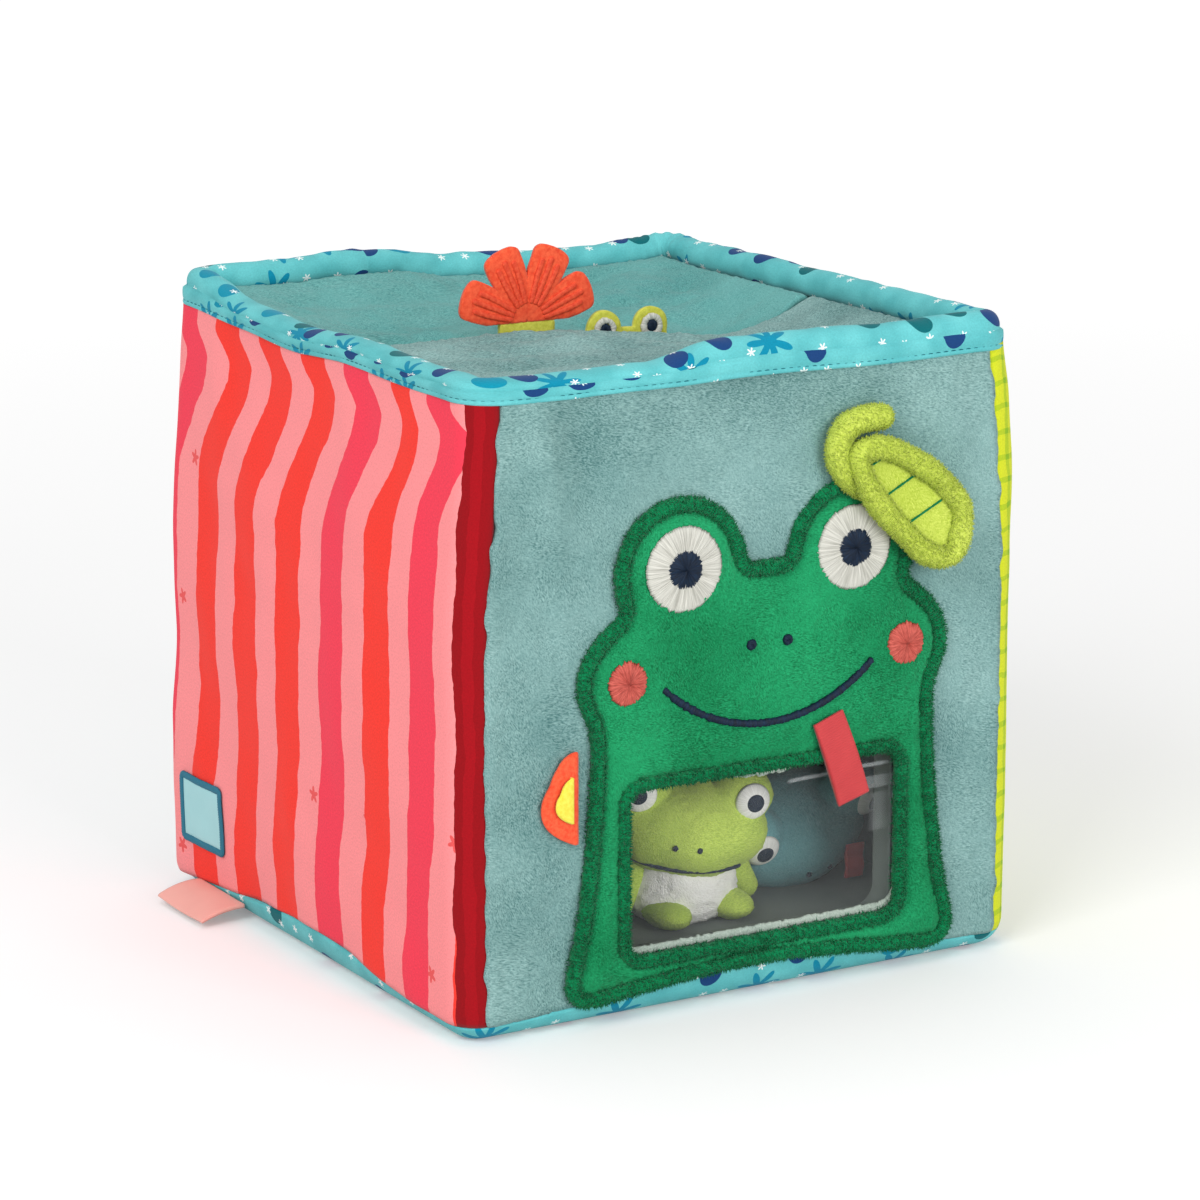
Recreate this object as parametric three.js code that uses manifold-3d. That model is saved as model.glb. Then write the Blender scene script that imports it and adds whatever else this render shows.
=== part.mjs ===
// Soft activity cube for a baby: five padded fabric walls round an open hollow, a printed binding round
// the rim, two plush flaps that meet in a slit over the hollow, a frog sewn round a clear window, and
// two small stuffed frogs inside. Millimetres, +Z up. The window face looks along -Y, the striped face
// along -X, and the origin is the middle of the base on the surface that the cube stands on.

import * as THREE from "three";
import { mergeVertices } from "three/addons/utils/BufferGeometryUtils.js";
import Module from "manifold-3d";

const wasm = await Module();
wasm.setup();

// Evenly spaced values, both ends included
const spread = (from, to, steps) => (
  Array.from({ length: steps + 1 }, (_, i) => from + ((to - from) * i) / steps));

// The cube as a whole
const width = 186;
const depth = 186;
const height = 190;
const rimWidth = 177; // the rim is drawn in from side to side
const drawInStart = 112; // height at which the side walls begin to lean in
const cornerRadius = 10; // upright edges
const baseRadius = 9; // the edge round the bottom
const crownHeight = 1.8; // how far the side and back walls swell in their middle
const baseEdgeLow = 5; // where the base fabric ends at the corners of a face
const baseEdgeArch = 5.5; // how much higher it ends in the middle of a face
const baseOuterAngles = [0, 18, 38, 55].map(THREE.MathUtils.degToRad); // round its edge, from below
const baseInnerAngles = [42, 25, 0].map(THREE.MathUtils.degToRad);

// The layers of a wall, from outside in
const coverThickness = 2.6;
const paneThickness = 0.5;
const foamThickness = 8;
const liningThickness = 1.2;
const liningCorner = 3.5;
const seat = 0.3; // gap between two pieces that touch
const overrun = 5; // how far a cutting tool runs past what it cuts
const wallSteps = 8; // facets along a wall
const cornerSteps = 4;
const wallTop = 174; // top of the foam boards and the lining, under the flaps
const wallLevelShares = [0.07, 0.25, 0.45, 0.61, 0.72, 0.82]; // rings of a wall, of the height

// Rim binding
const bindingRadius = 4.7;
const bindingCornerRadius = 6.5; // of its centre line
const buttGap = 0.4; // its two ends meet behind, at this x
const buttX = -27;

// Flaps
const flapThickness = 3;
const hingeDrop = 2; // the flaps hang this far below the middle of the binding
const hingeGap = 0.4;
const flapSideGap = 0.7;
const slitY = -2; // middle of the slit between the flaps
const slitWidth = 3;
const shoulderDrop = 3.2; // a flap falls this much close to its seam
const shoulderReach = 24;
const pondSag = 7; // sag of the slit, deepest right of the middle
const pondSagSkew = 2.6; // over 1, the deepest place moves to the right
const rearDrop = 4; // the rear flap hangs this much lower at the slit
const rippleHeight = 0.9;
const rippleHalfWaves = 5; // from side to side
const rippleSlant = 3; // radians by which the ripples shift from the seam to the slit
const sideFadeShare = 1 / 6; // of the flap's width, over which its sag and ripples begin

// Window and the frog sewn round it
const windowWidth = 92;
const windowHeight = 51;
const windowX = 4;
const windowZ = 42.5;
const windowCorner = 6;
const paneMargin = 7;
const appliqueThickness = 2.4;
const borderThickness = 3;
const borderWidth = 3.2;
const appliqueHem = 1.2; // its lower edge stands this far above the base fabric
const frogX = 4; // middle line of the frog
const bodyFootHalf = 63;
const bodyShoulderHalf = 54;
const bodyFootCorner = 6;
const headZ = 98;
const headHalfWidth = 59;
const headHalfHeight = 27;
const bumpSpread = 28;
const bumpZ = 127;
const bumpRadius = 19;
const stitchThickness = 1;
const eyeRadius = 12;
const pupilRadius = 6;
const eyeDrop = 1; // the eyes sit this far above the middle of the bumps
const cheekRadius = 6.2;
const cheekSpread = 46;
const cheekZ = 98;
const nostrilRadius = 1.4;
const nostrilSpread = 6;
const nostrilZ = 104;
const mouthRadius = 50;
const mouthLow = 81;
const mouthLineWidth = 2;
const mouthHalfAngle = THREE.MathUtils.degToRad(44);

// Ribbon tongue
const ribbonWidth = 10;
const ribbonLength = 27;
const ribbonThickness = 1.2;
const ribbonX = 23;
const ribbonTopZ = 80;
const ribbonLean = THREE.MathUtils.degToRad(20);

// Leaf over one eye
const leafLength = 53;
const leafHalfWidth = 15;
const leafPinch = 1.15; // over 1, the leaf's ends are drawn to points
const leafTubeRadius = 4.4;
const leafBackThickness = 3;
const leafX = 30;
const leafZ = 156.5;
const leafLean = THREE.MathUtils.degToRad(39);
const stalkRadius = 4;
const stalkReach = 17;
const stalkRise = 7;
const stalkArch = 11;

// Small tabs and the patch
const tagLength = 27;
const tagReach = 11;
const tagThickness = 1.4;
const tagZ = 67;
const tagClear = 3.8; // leaves the tag room to swing beside the frog's border
const tagNeckShares = [[1.6, -0.5], [0.8, 0.35]]; // of the tag's reach and half length
const tagTopShares = [[0.5, 1], [0, 1]];
const seedShare = 0.5; // size of the seed on the tag, of the tag's own
const seedInsetShare = 0.4; // of the seed's own reach
const patchWidth = 27;
const patchHeight = 22;
const patchY = 67;
const patchZ = 28;
const patchThickness = 0.8;
const patchRim = 2.2;
const labelWidth = 31;
const labelReach = 14;
const labelThickness = 1.2;
const labelY = 58;
const labelRootZ = 5.6;
const labelDroop = 3;

// Felt flower and felt frog that stand in the slit
const feltThickness = 2;
const feltY = 2;
const stemX = -18;
const stemWidth = 18;
const stemTop = 182;
const petalLength = 25;
const petalHalfWidth = 6.2;
const petalRootWidth = 5;
const petalTipShare = 0.5; // of a petal's half width, the round of its tip
const petalAngles = [158, 114, 66, 22].map(THREE.MathUtils.degToRad);
const pondFrogX = 16;
const pondFrogHalf = 14;
const pondFrogTop = 177.5;
const pondBumpRadius = 5.6;
const pondBumpSpread = 8;
const pondEyeRadius = 3.6;

// The stuffed frogs
const toyHead = new THREE.Vector3(25, 19, 15);
const toyHeadTaper = 0.1; // how much the head narrows towards its top
const toyBulbRadius = 8.2;
const toyBulbSpread = 17;
const toyBulbRise = 11;
const toyBulbForward = 5;
const toyEyeRadius = 5.6;
const toyBodyLength = 21;
const toyBodyRadius = 17;
const toyBodyShares = [ // its profile from the seat up: shares of its radius and of its length
  [0, 1], [0.87, 0.97], [0.97, 0.84], [1, 0.62], [0.98, 0.4], [0.93, 0.2], [0.76, 0], [0, 0],
];
const toyBodyFlatShare = 0.82; // depth of the body over its width
const toyArmLength = 20;
const toyArmRadius = 4.2;
const toyArmLean = THREE.MathUtils.degToRad(24);
const toyFoot = new THREE.Vector3(6.5, 9.5, 4);
const footSpreadShare = 0.62; // of the body's radius
const toyTongueShares = [0.5, 0.9, 0.75]; // its place on the head, of the head's three half sizes
const limeX = 3.5;
const limeY = -50.5;
const limeRoll = THREE.MathUtils.degToRad(12);
const blueX = 51.3;
const blueY = -32;
const blueHeadZ = 28.5; // it lies on its front with its head held up
const blueRoll = THREE.MathUtils.degToRad(-8);

// Worked out from the sizes above
const halfWidth = width / 2;
const halfDepth = depth / 2;
const seamX = halfWidth - cornerRadius;
const seamY = halfDepth - cornerRadius;
const foamOffset = coverThickness + seat;
const liningOffset = foamOffset + foamThickness + seat;
const floorTop = liningOffset + liningThickness;
const wallLevels = wallLevelShares.map((share) => share * height);
const bindingZ = height - bindingRadius;
const bindingX = rimWidth / 2 - bindingRadius;
const bindingY = halfDepth - bindingRadius;
const coverTop = bindingZ - Math.sqrt((bindingRadius + seat) ** 2 - (bindingRadius - coverThickness) ** 2);
const hingeY = bindingY - bindingRadius - hingeGap;
const hingeZ = bindingZ - hingeDrop;
const flapHalf = bindingX - bindingRadius - flapSideGap;
const flapLine = spread(-flapHalf, flapHalf, 12);
const figureLine = feltY + feltThickness / 2 + seat; // just behind the felt figures in the slit
const panelFront = -halfDepth - seat; // the plane that the frog is sewn to
const appliqueFront = panelFront - appliqueThickness;
const borderFront = panelFront - borderThickness;
const eyeFront = appliqueFront - seat - stitchThickness;
const tagX = frogX - bodyShoulderHalf - borderWidth / 2 - tagThickness - tagClear; // its seam

// Colours
const fabric = (color, roughness = 0.95) => (
  new THREE.MeshStandardMaterial({ color, roughness, metalness: 0 }));
const finishes = {
  aqua: fabric(0x86b0ae),
  stripes: fabric(0xf5485a),
  lime: fabric(0xcddc28),
  print: fabric(0x6ed2d2),
  foam: fabric(0xe9e4d6),
  lining: fabric(0xb4b8bb),
  green: fabric(0x1f9a55),
  darkGreen: fabric(0x127a42),
  white: fabric(0xe6e4da),
  navy: fabric(0x22375c),
  coral: fabric(0xeb5a3c),
  ribbon: fabric(0xe14b50, 0.7),
  leaf: fabric(0xa5c846),
  yellow: fabric(0xe8d44a),
  pink: fabric(0xf5beb4),
  blue: fabric(0x5f9fb4),
  teal: fabric(0x00646e),
  pane: new THREE.MeshStandardMaterial({
    color: 0xffffff, roughness: 0.08, metalness: 0, transparent: true, opacity: 0.25,
  }),
};

const cube = new THREE.Group();

function place(name, geometry, material, parent = cube) {
  const mesh = new THREE.Mesh(geometry, material);
  mesh.name = name;
  parent.add(mesh);
  return mesh;
}

// Turns a shape with holes, or any closed geometry, into a solid for cutting and joining.
function solid(geometry) {
  const bare = geometry.index ? geometry.clone() : geometry;
  bare.deleteAttribute("normal");
  bare.deleteAttribute("uv");
  const merged = mergeVertices(bare);
  return new wasm.Manifold(new wasm.Mesh({
    numProp: 3,
    vertProperties: merged.attributes.position.array,
    triVerts: Uint32Array.from(merged.index.array),
  }));
}

function geometryOf(manifold) {
  const { vertProperties, triVerts } = manifold.getMesh();
  const geometry = new THREE.BufferGeometry();
  geometry.setAttribute("position", new THREE.BufferAttribute(vertProperties, 3));
  geometry.setIndex(new THREE.BufferAttribute(triVerts, 1));
  return geometry;
}

// A closed body from rings of points, each ring joined to the next and both ends capped.
// A cap is cut up in the plane of two axes, such as "xy". The cap of a "strip", a ring whose first half
// runs out and whose second half runs back beside it, goes straight across from one half to the other.
function loft(rings, capping) {
  const count = rings[0].length;
  const positions = rings.flat().flatMap((p) => [p.x, p.y, p.z]);
  const indices = [];
  for (let i = 0; i + 1 < rings.length; i++) {
    for (let j = 0; j < count; j++) {
      const a = i * count + j;
      const b = i * count + ((j + 1) % count);
      indices.push(a, b, b + count, a, b + count, a + count);
    }
  }
  const cap = (ring, start, reversed) => {
    if (capping === "strip") {
      for (let j = 0; j + 1 < count / 2; j++) {
        const across = [start + j, start + j + 1, start + count - 2 - j, start + count - 1 - j];
        const [a, b, c, d] = reversed ? across.toReversed() : across;
        indices.push(a, b, c, a, c, d);
      }
      return;
    }
    const flat = ring.map((p) => new THREE.Vector2(p[capping[0]], p[capping[1]]));
    const turn = Math.sign(THREE.ShapeUtils.area(flat));
    for (const [a, b, c] of THREE.ShapeUtils.triangulateShape(flat, [])) {
      const same = Math.sign(THREE.ShapeUtils.area([flat[a], flat[b], flat[c]])) === turn;
      const face = same === reversed ? [c, b, a] : [a, b, c];
      indices.push(...face.map((k) => start + k));
    }
  };
  cap(rings[0], 0, true);
  cap(rings.at(-1), (rings.length - 1) * count, false);
  return faceOutward(positions, indices);
}

// Turns every face round if the body came out inside out.
function faceOutward(positions, indices) {
  const corner = (k) => new THREE.Vector3().fromArray(positions, 3 * indices[k]);
  let volume = 0;
  for (let k = 0; k < indices.length; k += 3) {
    volume += corner(k).dot(corner(k + 1).cross(corner(k + 2)));
  }
  const geometry = new THREE.BufferGeometry();
  geometry.setAttribute("position", new THREE.Float32BufferAttribute(positions, 3));
  geometry.setIndex(volume < 0 ? indices.toReversed() : indices);
  return geometry;
}

const smooth = (t) => THREE.MathUtils.smoothstep(t, 0, 1);

// Shares the walls follow: narrower towards the rim, tucked in at the bottom edge.
const drawIn = (z) => 1 - (1 - rimWidth / width) * smooth((z - drawInStart) / (coverTop - drawInStart));
const tuck = (z) => (z < baseRadius ? baseRadius - Math.sqrt(baseRadius ** 2 - (baseRadius - z) ** 2) : 0);
const archAt = (t, half) => (Math.abs(t) < half ? Math.cos((Math.PI * t) / (2 * half)) ** 2 : 0);
const baseEdge = (x, y) => baseEdgeLow + baseEdgeArch * (archAt(x, seamX) + archAt(y, seamY));

// The outside line of a wall seen from above: points, their inward directions, and how much each swells.
function sideLine(sign) {
  const line = [];
  const arc = (centreY, from, to) => {
    for (const angle of spread(from, to, cornerSteps)) {
      line.push({
        x: sign * (seamX + cornerRadius * Math.cos(angle)),
        y: centreY + cornerRadius * Math.sin(angle),
        nx: -sign * Math.cos(angle),
        ny: -Math.sin(angle),
        swell: 0,
      });
    }
  };
  arc(-seamY, -Math.PI / 2, 0);
  line.push(...flatLine(sign, "side", -seamY, seamY).slice(1, -1));
  arc(seamY, 0, Math.PI / 2);
  return line;
}

function flatLine(sign, face, from, to, steps = wallSteps) {
  return spread(from, to, steps).map((t) => {
    const onSide = face === "side";
    const half = onSide ? seamY : seamX;
    return {
      x: onSide ? sign * halfWidth : t,
      y: onSide ? t : sign * halfDepth,
      nx: onSide ? -sign : 0,
      ny: onSide ? 0 : -sign,
      swell: onSide || sign > 0 ? 1 - (t / half) ** 2 : 0,
    };
  });
}

// One layer of a wall: it starts at an offset inside the outer surface and is as thick as told.
// It has a ring of points at each level; the level "edge" follows the upper edge of the base fabric.
function wallLayer(line, offset, thickness, levels) {
  const ringAt = (level) => {
    const at = (p, inward) => {
      const z = level === "edge" ? baseEdge(p.x, p.y) + seat : level;
      const rise = (z - baseEdgeLow) / (coverTop - baseEdgeLow);
      const push = inward + tuck(z) - crownHeight * p.swell * 4 * rise * (1 - rise);
      return new THREE.Vector3((p.x + p.nx * push) * drawIn(z), p.y + p.ny * push, z);
    };
    const outer = line.map((p) => at(p, offset));
    const inner = line.map((p) => at(p, offset + thickness)).reverse();
    return [...outer, ...inner];
  };
  return loft(levels.map(ringAt), "strip");
}

// A rounded rectangle seen from above, as points with their inward directions.
function roundedLoop(halfX, halfY, radius, sideSteps, arcSteps) {
  const loop = [];
  const quarter = Math.PI / 2;
  for (let k = 0; k < 4; k++) {
    const cx = (k === 0 || k === 3 ? 1 : -1) * (halfX - radius);
    const cy = (k < 2 ? 1 : -1) * (halfY - radius);
    for (const angle of spread(k * quarter, (k + 1) * quarter, arcSteps)) {
      const [nx, ny] = [-Math.cos(angle), -Math.sin(angle)];
      loop.push({ x: cx - radius * nx, y: cy - radius * ny, nx, ny });
    }
    const last = loop.at(-1);
    const across = k % 2 === 0;
    for (let i = 1; i < sideSteps; i++) {
      const step = { x: across ? -2 * cx : 0, y: across ? 0 : -2 * cy };
      loop.push({ ...last, x: last.x + (step.x * i) / sideSteps, y: last.y + (step.y * i) / sideSteps });
    }
  }
  return loop;
}

// The loop pushed inward, at a height that may change from point to point.
function ringOf(loop, insetAt, heightAt) {
  return loop.map((p) => {
    const z = heightAt(p.x, p.y);
    const inset = insetAt(z);
    return new THREE.Vector3((p.x + p.nx * inset) * drawIn(z), p.y + p.ny * inset, z);
  });
}

// A rounded window outline, grown or shrunk by a margin, as a prism that runs along Y.
function windowPrism(margin, front, back) {
  const w = windowWidth / 2 + margin;
  const h = windowHeight / 2 + margin;
  const r = windowCorner + margin;
  const outline = new THREE.Shape();
  outline.moveTo(windowX - w + r, windowZ - h);
  outline.absarc(windowX + w - r, windowZ - h + r, r, -Math.PI / 2, 0);
  outline.absarc(windowX + w - r, windowZ + h - r, r, 0, Math.PI / 2);
  outline.absarc(windowX - w + r, windowZ + h - r, r, Math.PI / 2, Math.PI);
  outline.absarc(windowX - w + r, windowZ - h + r, r, Math.PI, 1.5 * Math.PI);
  return standing(outline, front, back, 5);
}

// Extrudes an outline drawn in x and z so that it fills the space from front to back along Y.
function standing(outline, front, back, curveSegments = 24) {
  const options = { depth: back - front, bevelEnabled: false, curveSegments };
  const geometry = new THREE.ExtrudeGeometry(outline, options);
  geometry.rotateX(Math.PI / 2);
  geometry.translate(0, back, 0);
  return geometry;
}

function discOutline(x, z, radiusX, radiusZ = radiusX) {
  const outline = new THREE.Shape();
  outline.absellipse(x, z, radiusX, radiusZ, 0, 2 * Math.PI);
  return outline;
}

makeWalls();
makeBinding();
makeFlaps();
makeFrogPanel();
makeRibbon();
makeLeaf();
makeTabs();
makePondFigures();
const toyFloor = floorTop + seat;
const limePlace = new THREE.Vector3(limeX, limeY, toyFloor + toyBodyLength + toyHead.z / 2);
const bluePlace = new THREE.Vector3(blueX, blueY, blueHeadZ);
makeToyFrog("lime_frog", limePlace, limeRoll, false, finishes.leaf, finishes.white);
makeToyFrog("blue_frog", bluePlace, blueRoll, true, finishes.blue, finishes.blue);

function makeWalls() {
  const coverLevels = ["edge", ...wallLevels, wallTop, coverTop];
  const foamLevels = [...wallLevels, wallTop];
  const cover = (line) => wallLayer(line, 0, coverThickness, coverLevels);
  place("left_cover", cover(sideLine(-1)), finishes.stripes);
  place("right_cover", cover(sideLine(1)), finishes.lime);
  place("back_cover", cover(flatLine(1, "end", -seamX + seat, seamX - seat)), finishes.aqua);

  const front = cover(flatLine(-1, "end", -seamX + seat, seamX - seat));
  const opening = solid(windowPrism(0, -halfDepth - overrun, -halfDepth + liningOffset));
  place("front_cover", geometryOf(solid(front).subtract(opening)), finishes.aqua);

  const foamHalfX = halfWidth - liningOffset;
  const foamHalfY = seamY - seat;
  const foam = (line, offset = foamOffset, thickness = foamThickness) => (
    wallLayer(line, offset, thickness, foamLevels));
  place("left_foam", foam(flatLine(-1, "side", -foamHalfY, foamHalfY)), finishes.foam);
  place("right_foam", foam(flatLine(1, "side", -foamHalfY, foamHalfY)), finishes.foam);
  place("back_foam", foam(flatLine(1, "end", -foamHalfX, foamHalfX)), finishes.foam);

  // The front board is thinner by the window pane in front of it, and its opening is lined.
  const boardOffset = foamOffset + paneThickness + seat;
  const boardLine = flatLine(-1, "end", -foamHalfX, foamHalfX);
  const board = foam(boardLine, boardOffset, foamThickness - paneThickness - seat);
  const tunnelMargin = liningThickness + seat;
  const boardHole = windowPrism(tunnelMargin, -halfDepth, -halfDepth + liningOffset + overrun);
  place("front_foam", geometryOf(solid(board).subtract(solid(boardHole))), finishes.foam);

  const paneFront = -halfDepth + foamOffset;
  const pane = windowPrism(paneMargin, paneFront, paneFront + paneThickness);
  place("window_pane", pane, finishes.pane);

  makeLining(-halfDepth + boardOffset, foamHalfX, halfDepth - liningOffset);
  makeBase(foamHalfX);
}

// The grey bag inside: an open box whose window edge turns forward through the foam board.
function makeLining(tunnelFront, outerX, outerY) {
  const levels = [wallTop, ...wallLevels.slice(3).toReversed()];
  const loop = roundedLoop(outerX, outerY, liningCorner, 1, 2);
  const ring = (inset, z) => ringOf(loop, () => inset, () => z);
  const rings = [
    ring(0, liningOffset),
    ...levels.toReversed().map((z) => ring(0, z)),
    ...levels.map((z) => ring(liningThickness, z)),
    ring(liningThickness, floorTop),
  ];
  const bag = solid(loft(rings, "xy"));
  const tunnel = solid(windowPrism(liningThickness, tunnelFront, -outerY + liningThickness / 2));
  const hole = solid(windowPrism(0, tunnelFront - overrun, -outerY + liningThickness + overrun));
  place("lining", geometryOf(bag.add(tunnel).subtract(hole)), finishes.lining);
}

// The printed base: a shallow tray with a rounded edge, and the foam board that lies in it.
function makeBase(boardHalf) {
  const loop = roundedLoop(halfWidth, halfDepth, cornerRadius, wallSteps, cornerSteps);
  const innerRadius = baseRadius - coverThickness;
  const roundEdge = (radius) => (angle) => (
    ringOf(loop, () => baseRadius - radius * Math.sin(angle), () => baseRadius - radius * Math.cos(angle)));
  const outer = baseOuterAngles.map(roundEdge(baseRadius));
  const inner = baseInnerAngles.map(roundEdge(innerRadius));
  const rims = [0, coverThickness].map((inward) => ringOf(loop, (z) => tuck(z) + inward, baseEdge));
  place("base_cover", loft([...outer, ...rims, ...inner], "xy"), finishes.print);

  const board = roundedLoop(boardHalf, halfDepth - liningOffset, cornerRadius / 2, 1, 2);
  const foam = [foamOffset, foamOffset + foamThickness].map((z) => ringOf(board, () => 0, () => z));
  place("base_foam", loft(foam, "xy"), finishes.foam);
}

// A padded tube round the rim. Its two ends meet in a seam behind.
function makeBinding() {
  const loop = ringOf(roundedLoop(bindingX, bindingY, bindingCornerRadius, 5, 4), () => 0, () => 0);
  const start = loop.findIndex((p, i) => p.y > 0 && p.x > buttX && loop[(i + 1) % loop.length].x <= buttX);
  const turned = [...loop.slice(start + 1), ...loop.slice(0, start + 1)].filter((p) => (
    p.y < 0 || Math.abs(p.x - buttX) > bindingRadius));
  const line = [
    new THREE.Vector3(buttX - buttGap / 2, bindingY, 0),
    ...turned,
    new THREE.Vector3(buttX + buttGap / 2, bindingY, 0),
  ];
  const up = new THREE.Vector3(0, 0, 1);
  const rings = line.map((p, i) => {
    const before = line[Math.max(i - 1, 0)];
    const after = line[Math.min(i + 1, line.length - 1)];
    const along = after.clone().sub(before).normalize();
    const out = along.clone().cross(up);
    return spread(0, 2 * Math.PI, 8).slice(0, -1).map((angle) => (
      p.clone()
        .addScaledVector(out, bindingRadius * Math.cos(angle))
        .addScaledVector(up, bindingZ + bindingRadius * Math.sin(angle))));
  });
  place("rim_binding", loft(rings, "yz"), finishes.print);
}

// Height of a flap's upper face, at x and at a share of the way from its seam to the slit.
function flapHeight(x, share, rear) {
  const w = (x / flapHalf + 1) / 2;
  const sag = pondSag * Math.sin(Math.PI * w ** pondSagSkew) ** 2;
  const inner = smooth(Math.min(w, 1 - w) / sideFadeShare);
  const reach = rear ? hingeY - slitY : hingeY + slitY;
  const shoulder = shoulderDrop * smooth((share * reach) / shoulderReach);
  const fall = (sag + (rear ? rearDrop * inner : 0)) * smooth(share);
  const wave = Math.sin(rippleHalfWaves * Math.PI * w + rippleSlant * share);
  return hingeZ - shoulder - fall + rippleHeight * inner * wave * Math.sin(Math.PI * share);
}

function flapEdgeY(rear) {
  return rear ? slitY + slitWidth / 2 : slitY - slitWidth / 2;
}

function makeFlaps() {
  for (const rear of [false, true]) {
    const seam = rear ? hingeY : -hingeY;
    const edge = flapEdgeY(rear);
    const beside = (seam - figureLine) / (seam - edge);
    const shares = rear ? [...spread(0, beside, 8), 1] : spread(0, 1, 8);
    const rings = shares.map((share) => {
      const y = THREE.MathUtils.lerp(seam, edge, share);
      const upper = flapLine.map((x) => new THREE.Vector3(x, y, flapHeight(x, share, rear)));
      const lower = upper.map((p) => p.clone().setZ(p.z - flapThickness)).reverse();
      return [...upper, ...lower];
    });
    place(rear ? "rear_flap" : "front_flap", loft(rings, "strip"), finishes.aqua);
  }
}

// The frog's outline grown by a margin, as a prism: a foot and shoulder block, a wide head and two bumps.
function frogPrism(margin, front, back) {
  const block = new THREE.Shape();
  const left = frogX - bodyFootHalf - margin;
  const right = frogX + bodyFootHalf + margin;
  const shoulder = bodyShoulderHalf + margin;
  const low = (x) => baseEdge(x, -halfDepth) + seat + appliqueHem - margin;
  const corner = bodyFootCorner;
  block.moveTo(left, low(left) + corner);
  block.quadraticCurveTo(left, low(left), left + corner, low(left + corner));
  for (const x of spread(left + corner, right - corner, 8).slice(1)) {
    block.lineTo(x, low(x));
  }
  block.quadraticCurveTo(right, low(right), right, low(right) + corner);
  block.quadraticCurveTo(frogX + shoulder, windowZ, frogX + shoulder, headZ);
  block.lineTo(frogX - shoulder, headZ);
  block.quadraticCurveTo(frogX - shoulder, windowZ, left, low(left) + corner);
  const head = discOutline(frogX, headZ, headHalfWidth + margin, headHalfHeight + margin);
  const bumps = [-1, 1].map((side) => discOutline(frogX + side * bumpSpread, bumpZ, bumpRadius + margin));
  const shapes = [
    standing(block, front, back, 4),
    standing(head, front, back, 14),
    ...bumps.map((bump) => standing(bump, front, back, 10)),
  ];
  return shapes.map(solid).reduce((whole, next) => whole.add(next));
}

function makeFrogPanel() {
  const half = borderWidth / 2;
  const ring = (outer, inner) => geometryOf(outer.subtract(inner));
  const cutFront = panelFront - appliqueThickness - overrun;
  const cutBack = panelFront + overrun;
  const pile = frogPrism(-half - seat, appliqueFront, panelFront)
    .subtract(solid(windowPrism(half + seat, cutFront, cutBack)));
  place("frog_applique", geometryOf(pile), finishes.green);
  place("applique_border", ring(
    frogPrism(half, borderFront, panelFront),
    frogPrism(-half, cutFront, cutBack),
  ), finishes.darkGreen);
  place("window_border", ring(
    solid(windowPrism(half, borderFront, panelFront)),
    solid(windowPrism(-half, cutFront, cutBack)),
  ), finishes.darkGreen);

  const back = appliqueFront - seat;
  const front = eyeFront;
  const eyeZ = bumpZ + eyeDrop;
  for (const [side, word] of [[-1, "left"], [1, "right"]]) {
    const eyeX = frogX + side * bumpSpread;
    const white = discOutline(eyeX, eyeZ, eyeRadius);
    white.holes.push(discOutline(eyeX, eyeZ, pupilRadius + seat));
    place(`${word}_eye`, standing(white, front, back, 10), finishes.white);
    place(`${word}_pupil`, standing(discOutline(eyeX, eyeZ, pupilRadius), front, back, 8), finishes.navy);
    const cheek = discOutline(frogX + side * cheekSpread, cheekZ, cheekRadius);
    place(`${word}_cheek`, standing(cheek, front, back, 8), finishes.coral);
    const nostril = discOutline(frogX + side * nostrilSpread, nostrilZ, nostrilRadius);
    place(`${word}_nostril`, standing(nostril, front, back, 5), finishes.navy);
  }

  const mouth = new THREE.Shape();
  const centreZ = mouthLow + mouthRadius;
  const from = -Math.PI / 2 - mouthHalfAngle;
  const to = -Math.PI / 2 + mouthHalfAngle;
  mouth.absarc(frogX, centreZ, mouthRadius + mouthLineWidth / 2, from, to);
  mouth.absarc(frogX, centreZ, mouthRadius - mouthLineWidth / 2, to, from, true);
  place("mouth", standing(mouth, front, back, 10), finishes.navy);
}

// A folded ribbon, held along its top edge.
function makeRibbon() {
  const holder = new THREE.Group();
  holder.position.set(ribbonX, borderFront - seat, ribbonTopZ);
  holder.rotation.y = -ribbonLean;
  cube.add(holder);
  const ribbon = new THREE.BoxGeometry(ribbonWidth, ribbonThickness, ribbonLength);
  ribbon.translate(0, -ribbonThickness / 2, -ribbonLength / 2);
  place("tongue_ribbon", ribbon, finishes.ribbon, holder);
}

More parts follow.
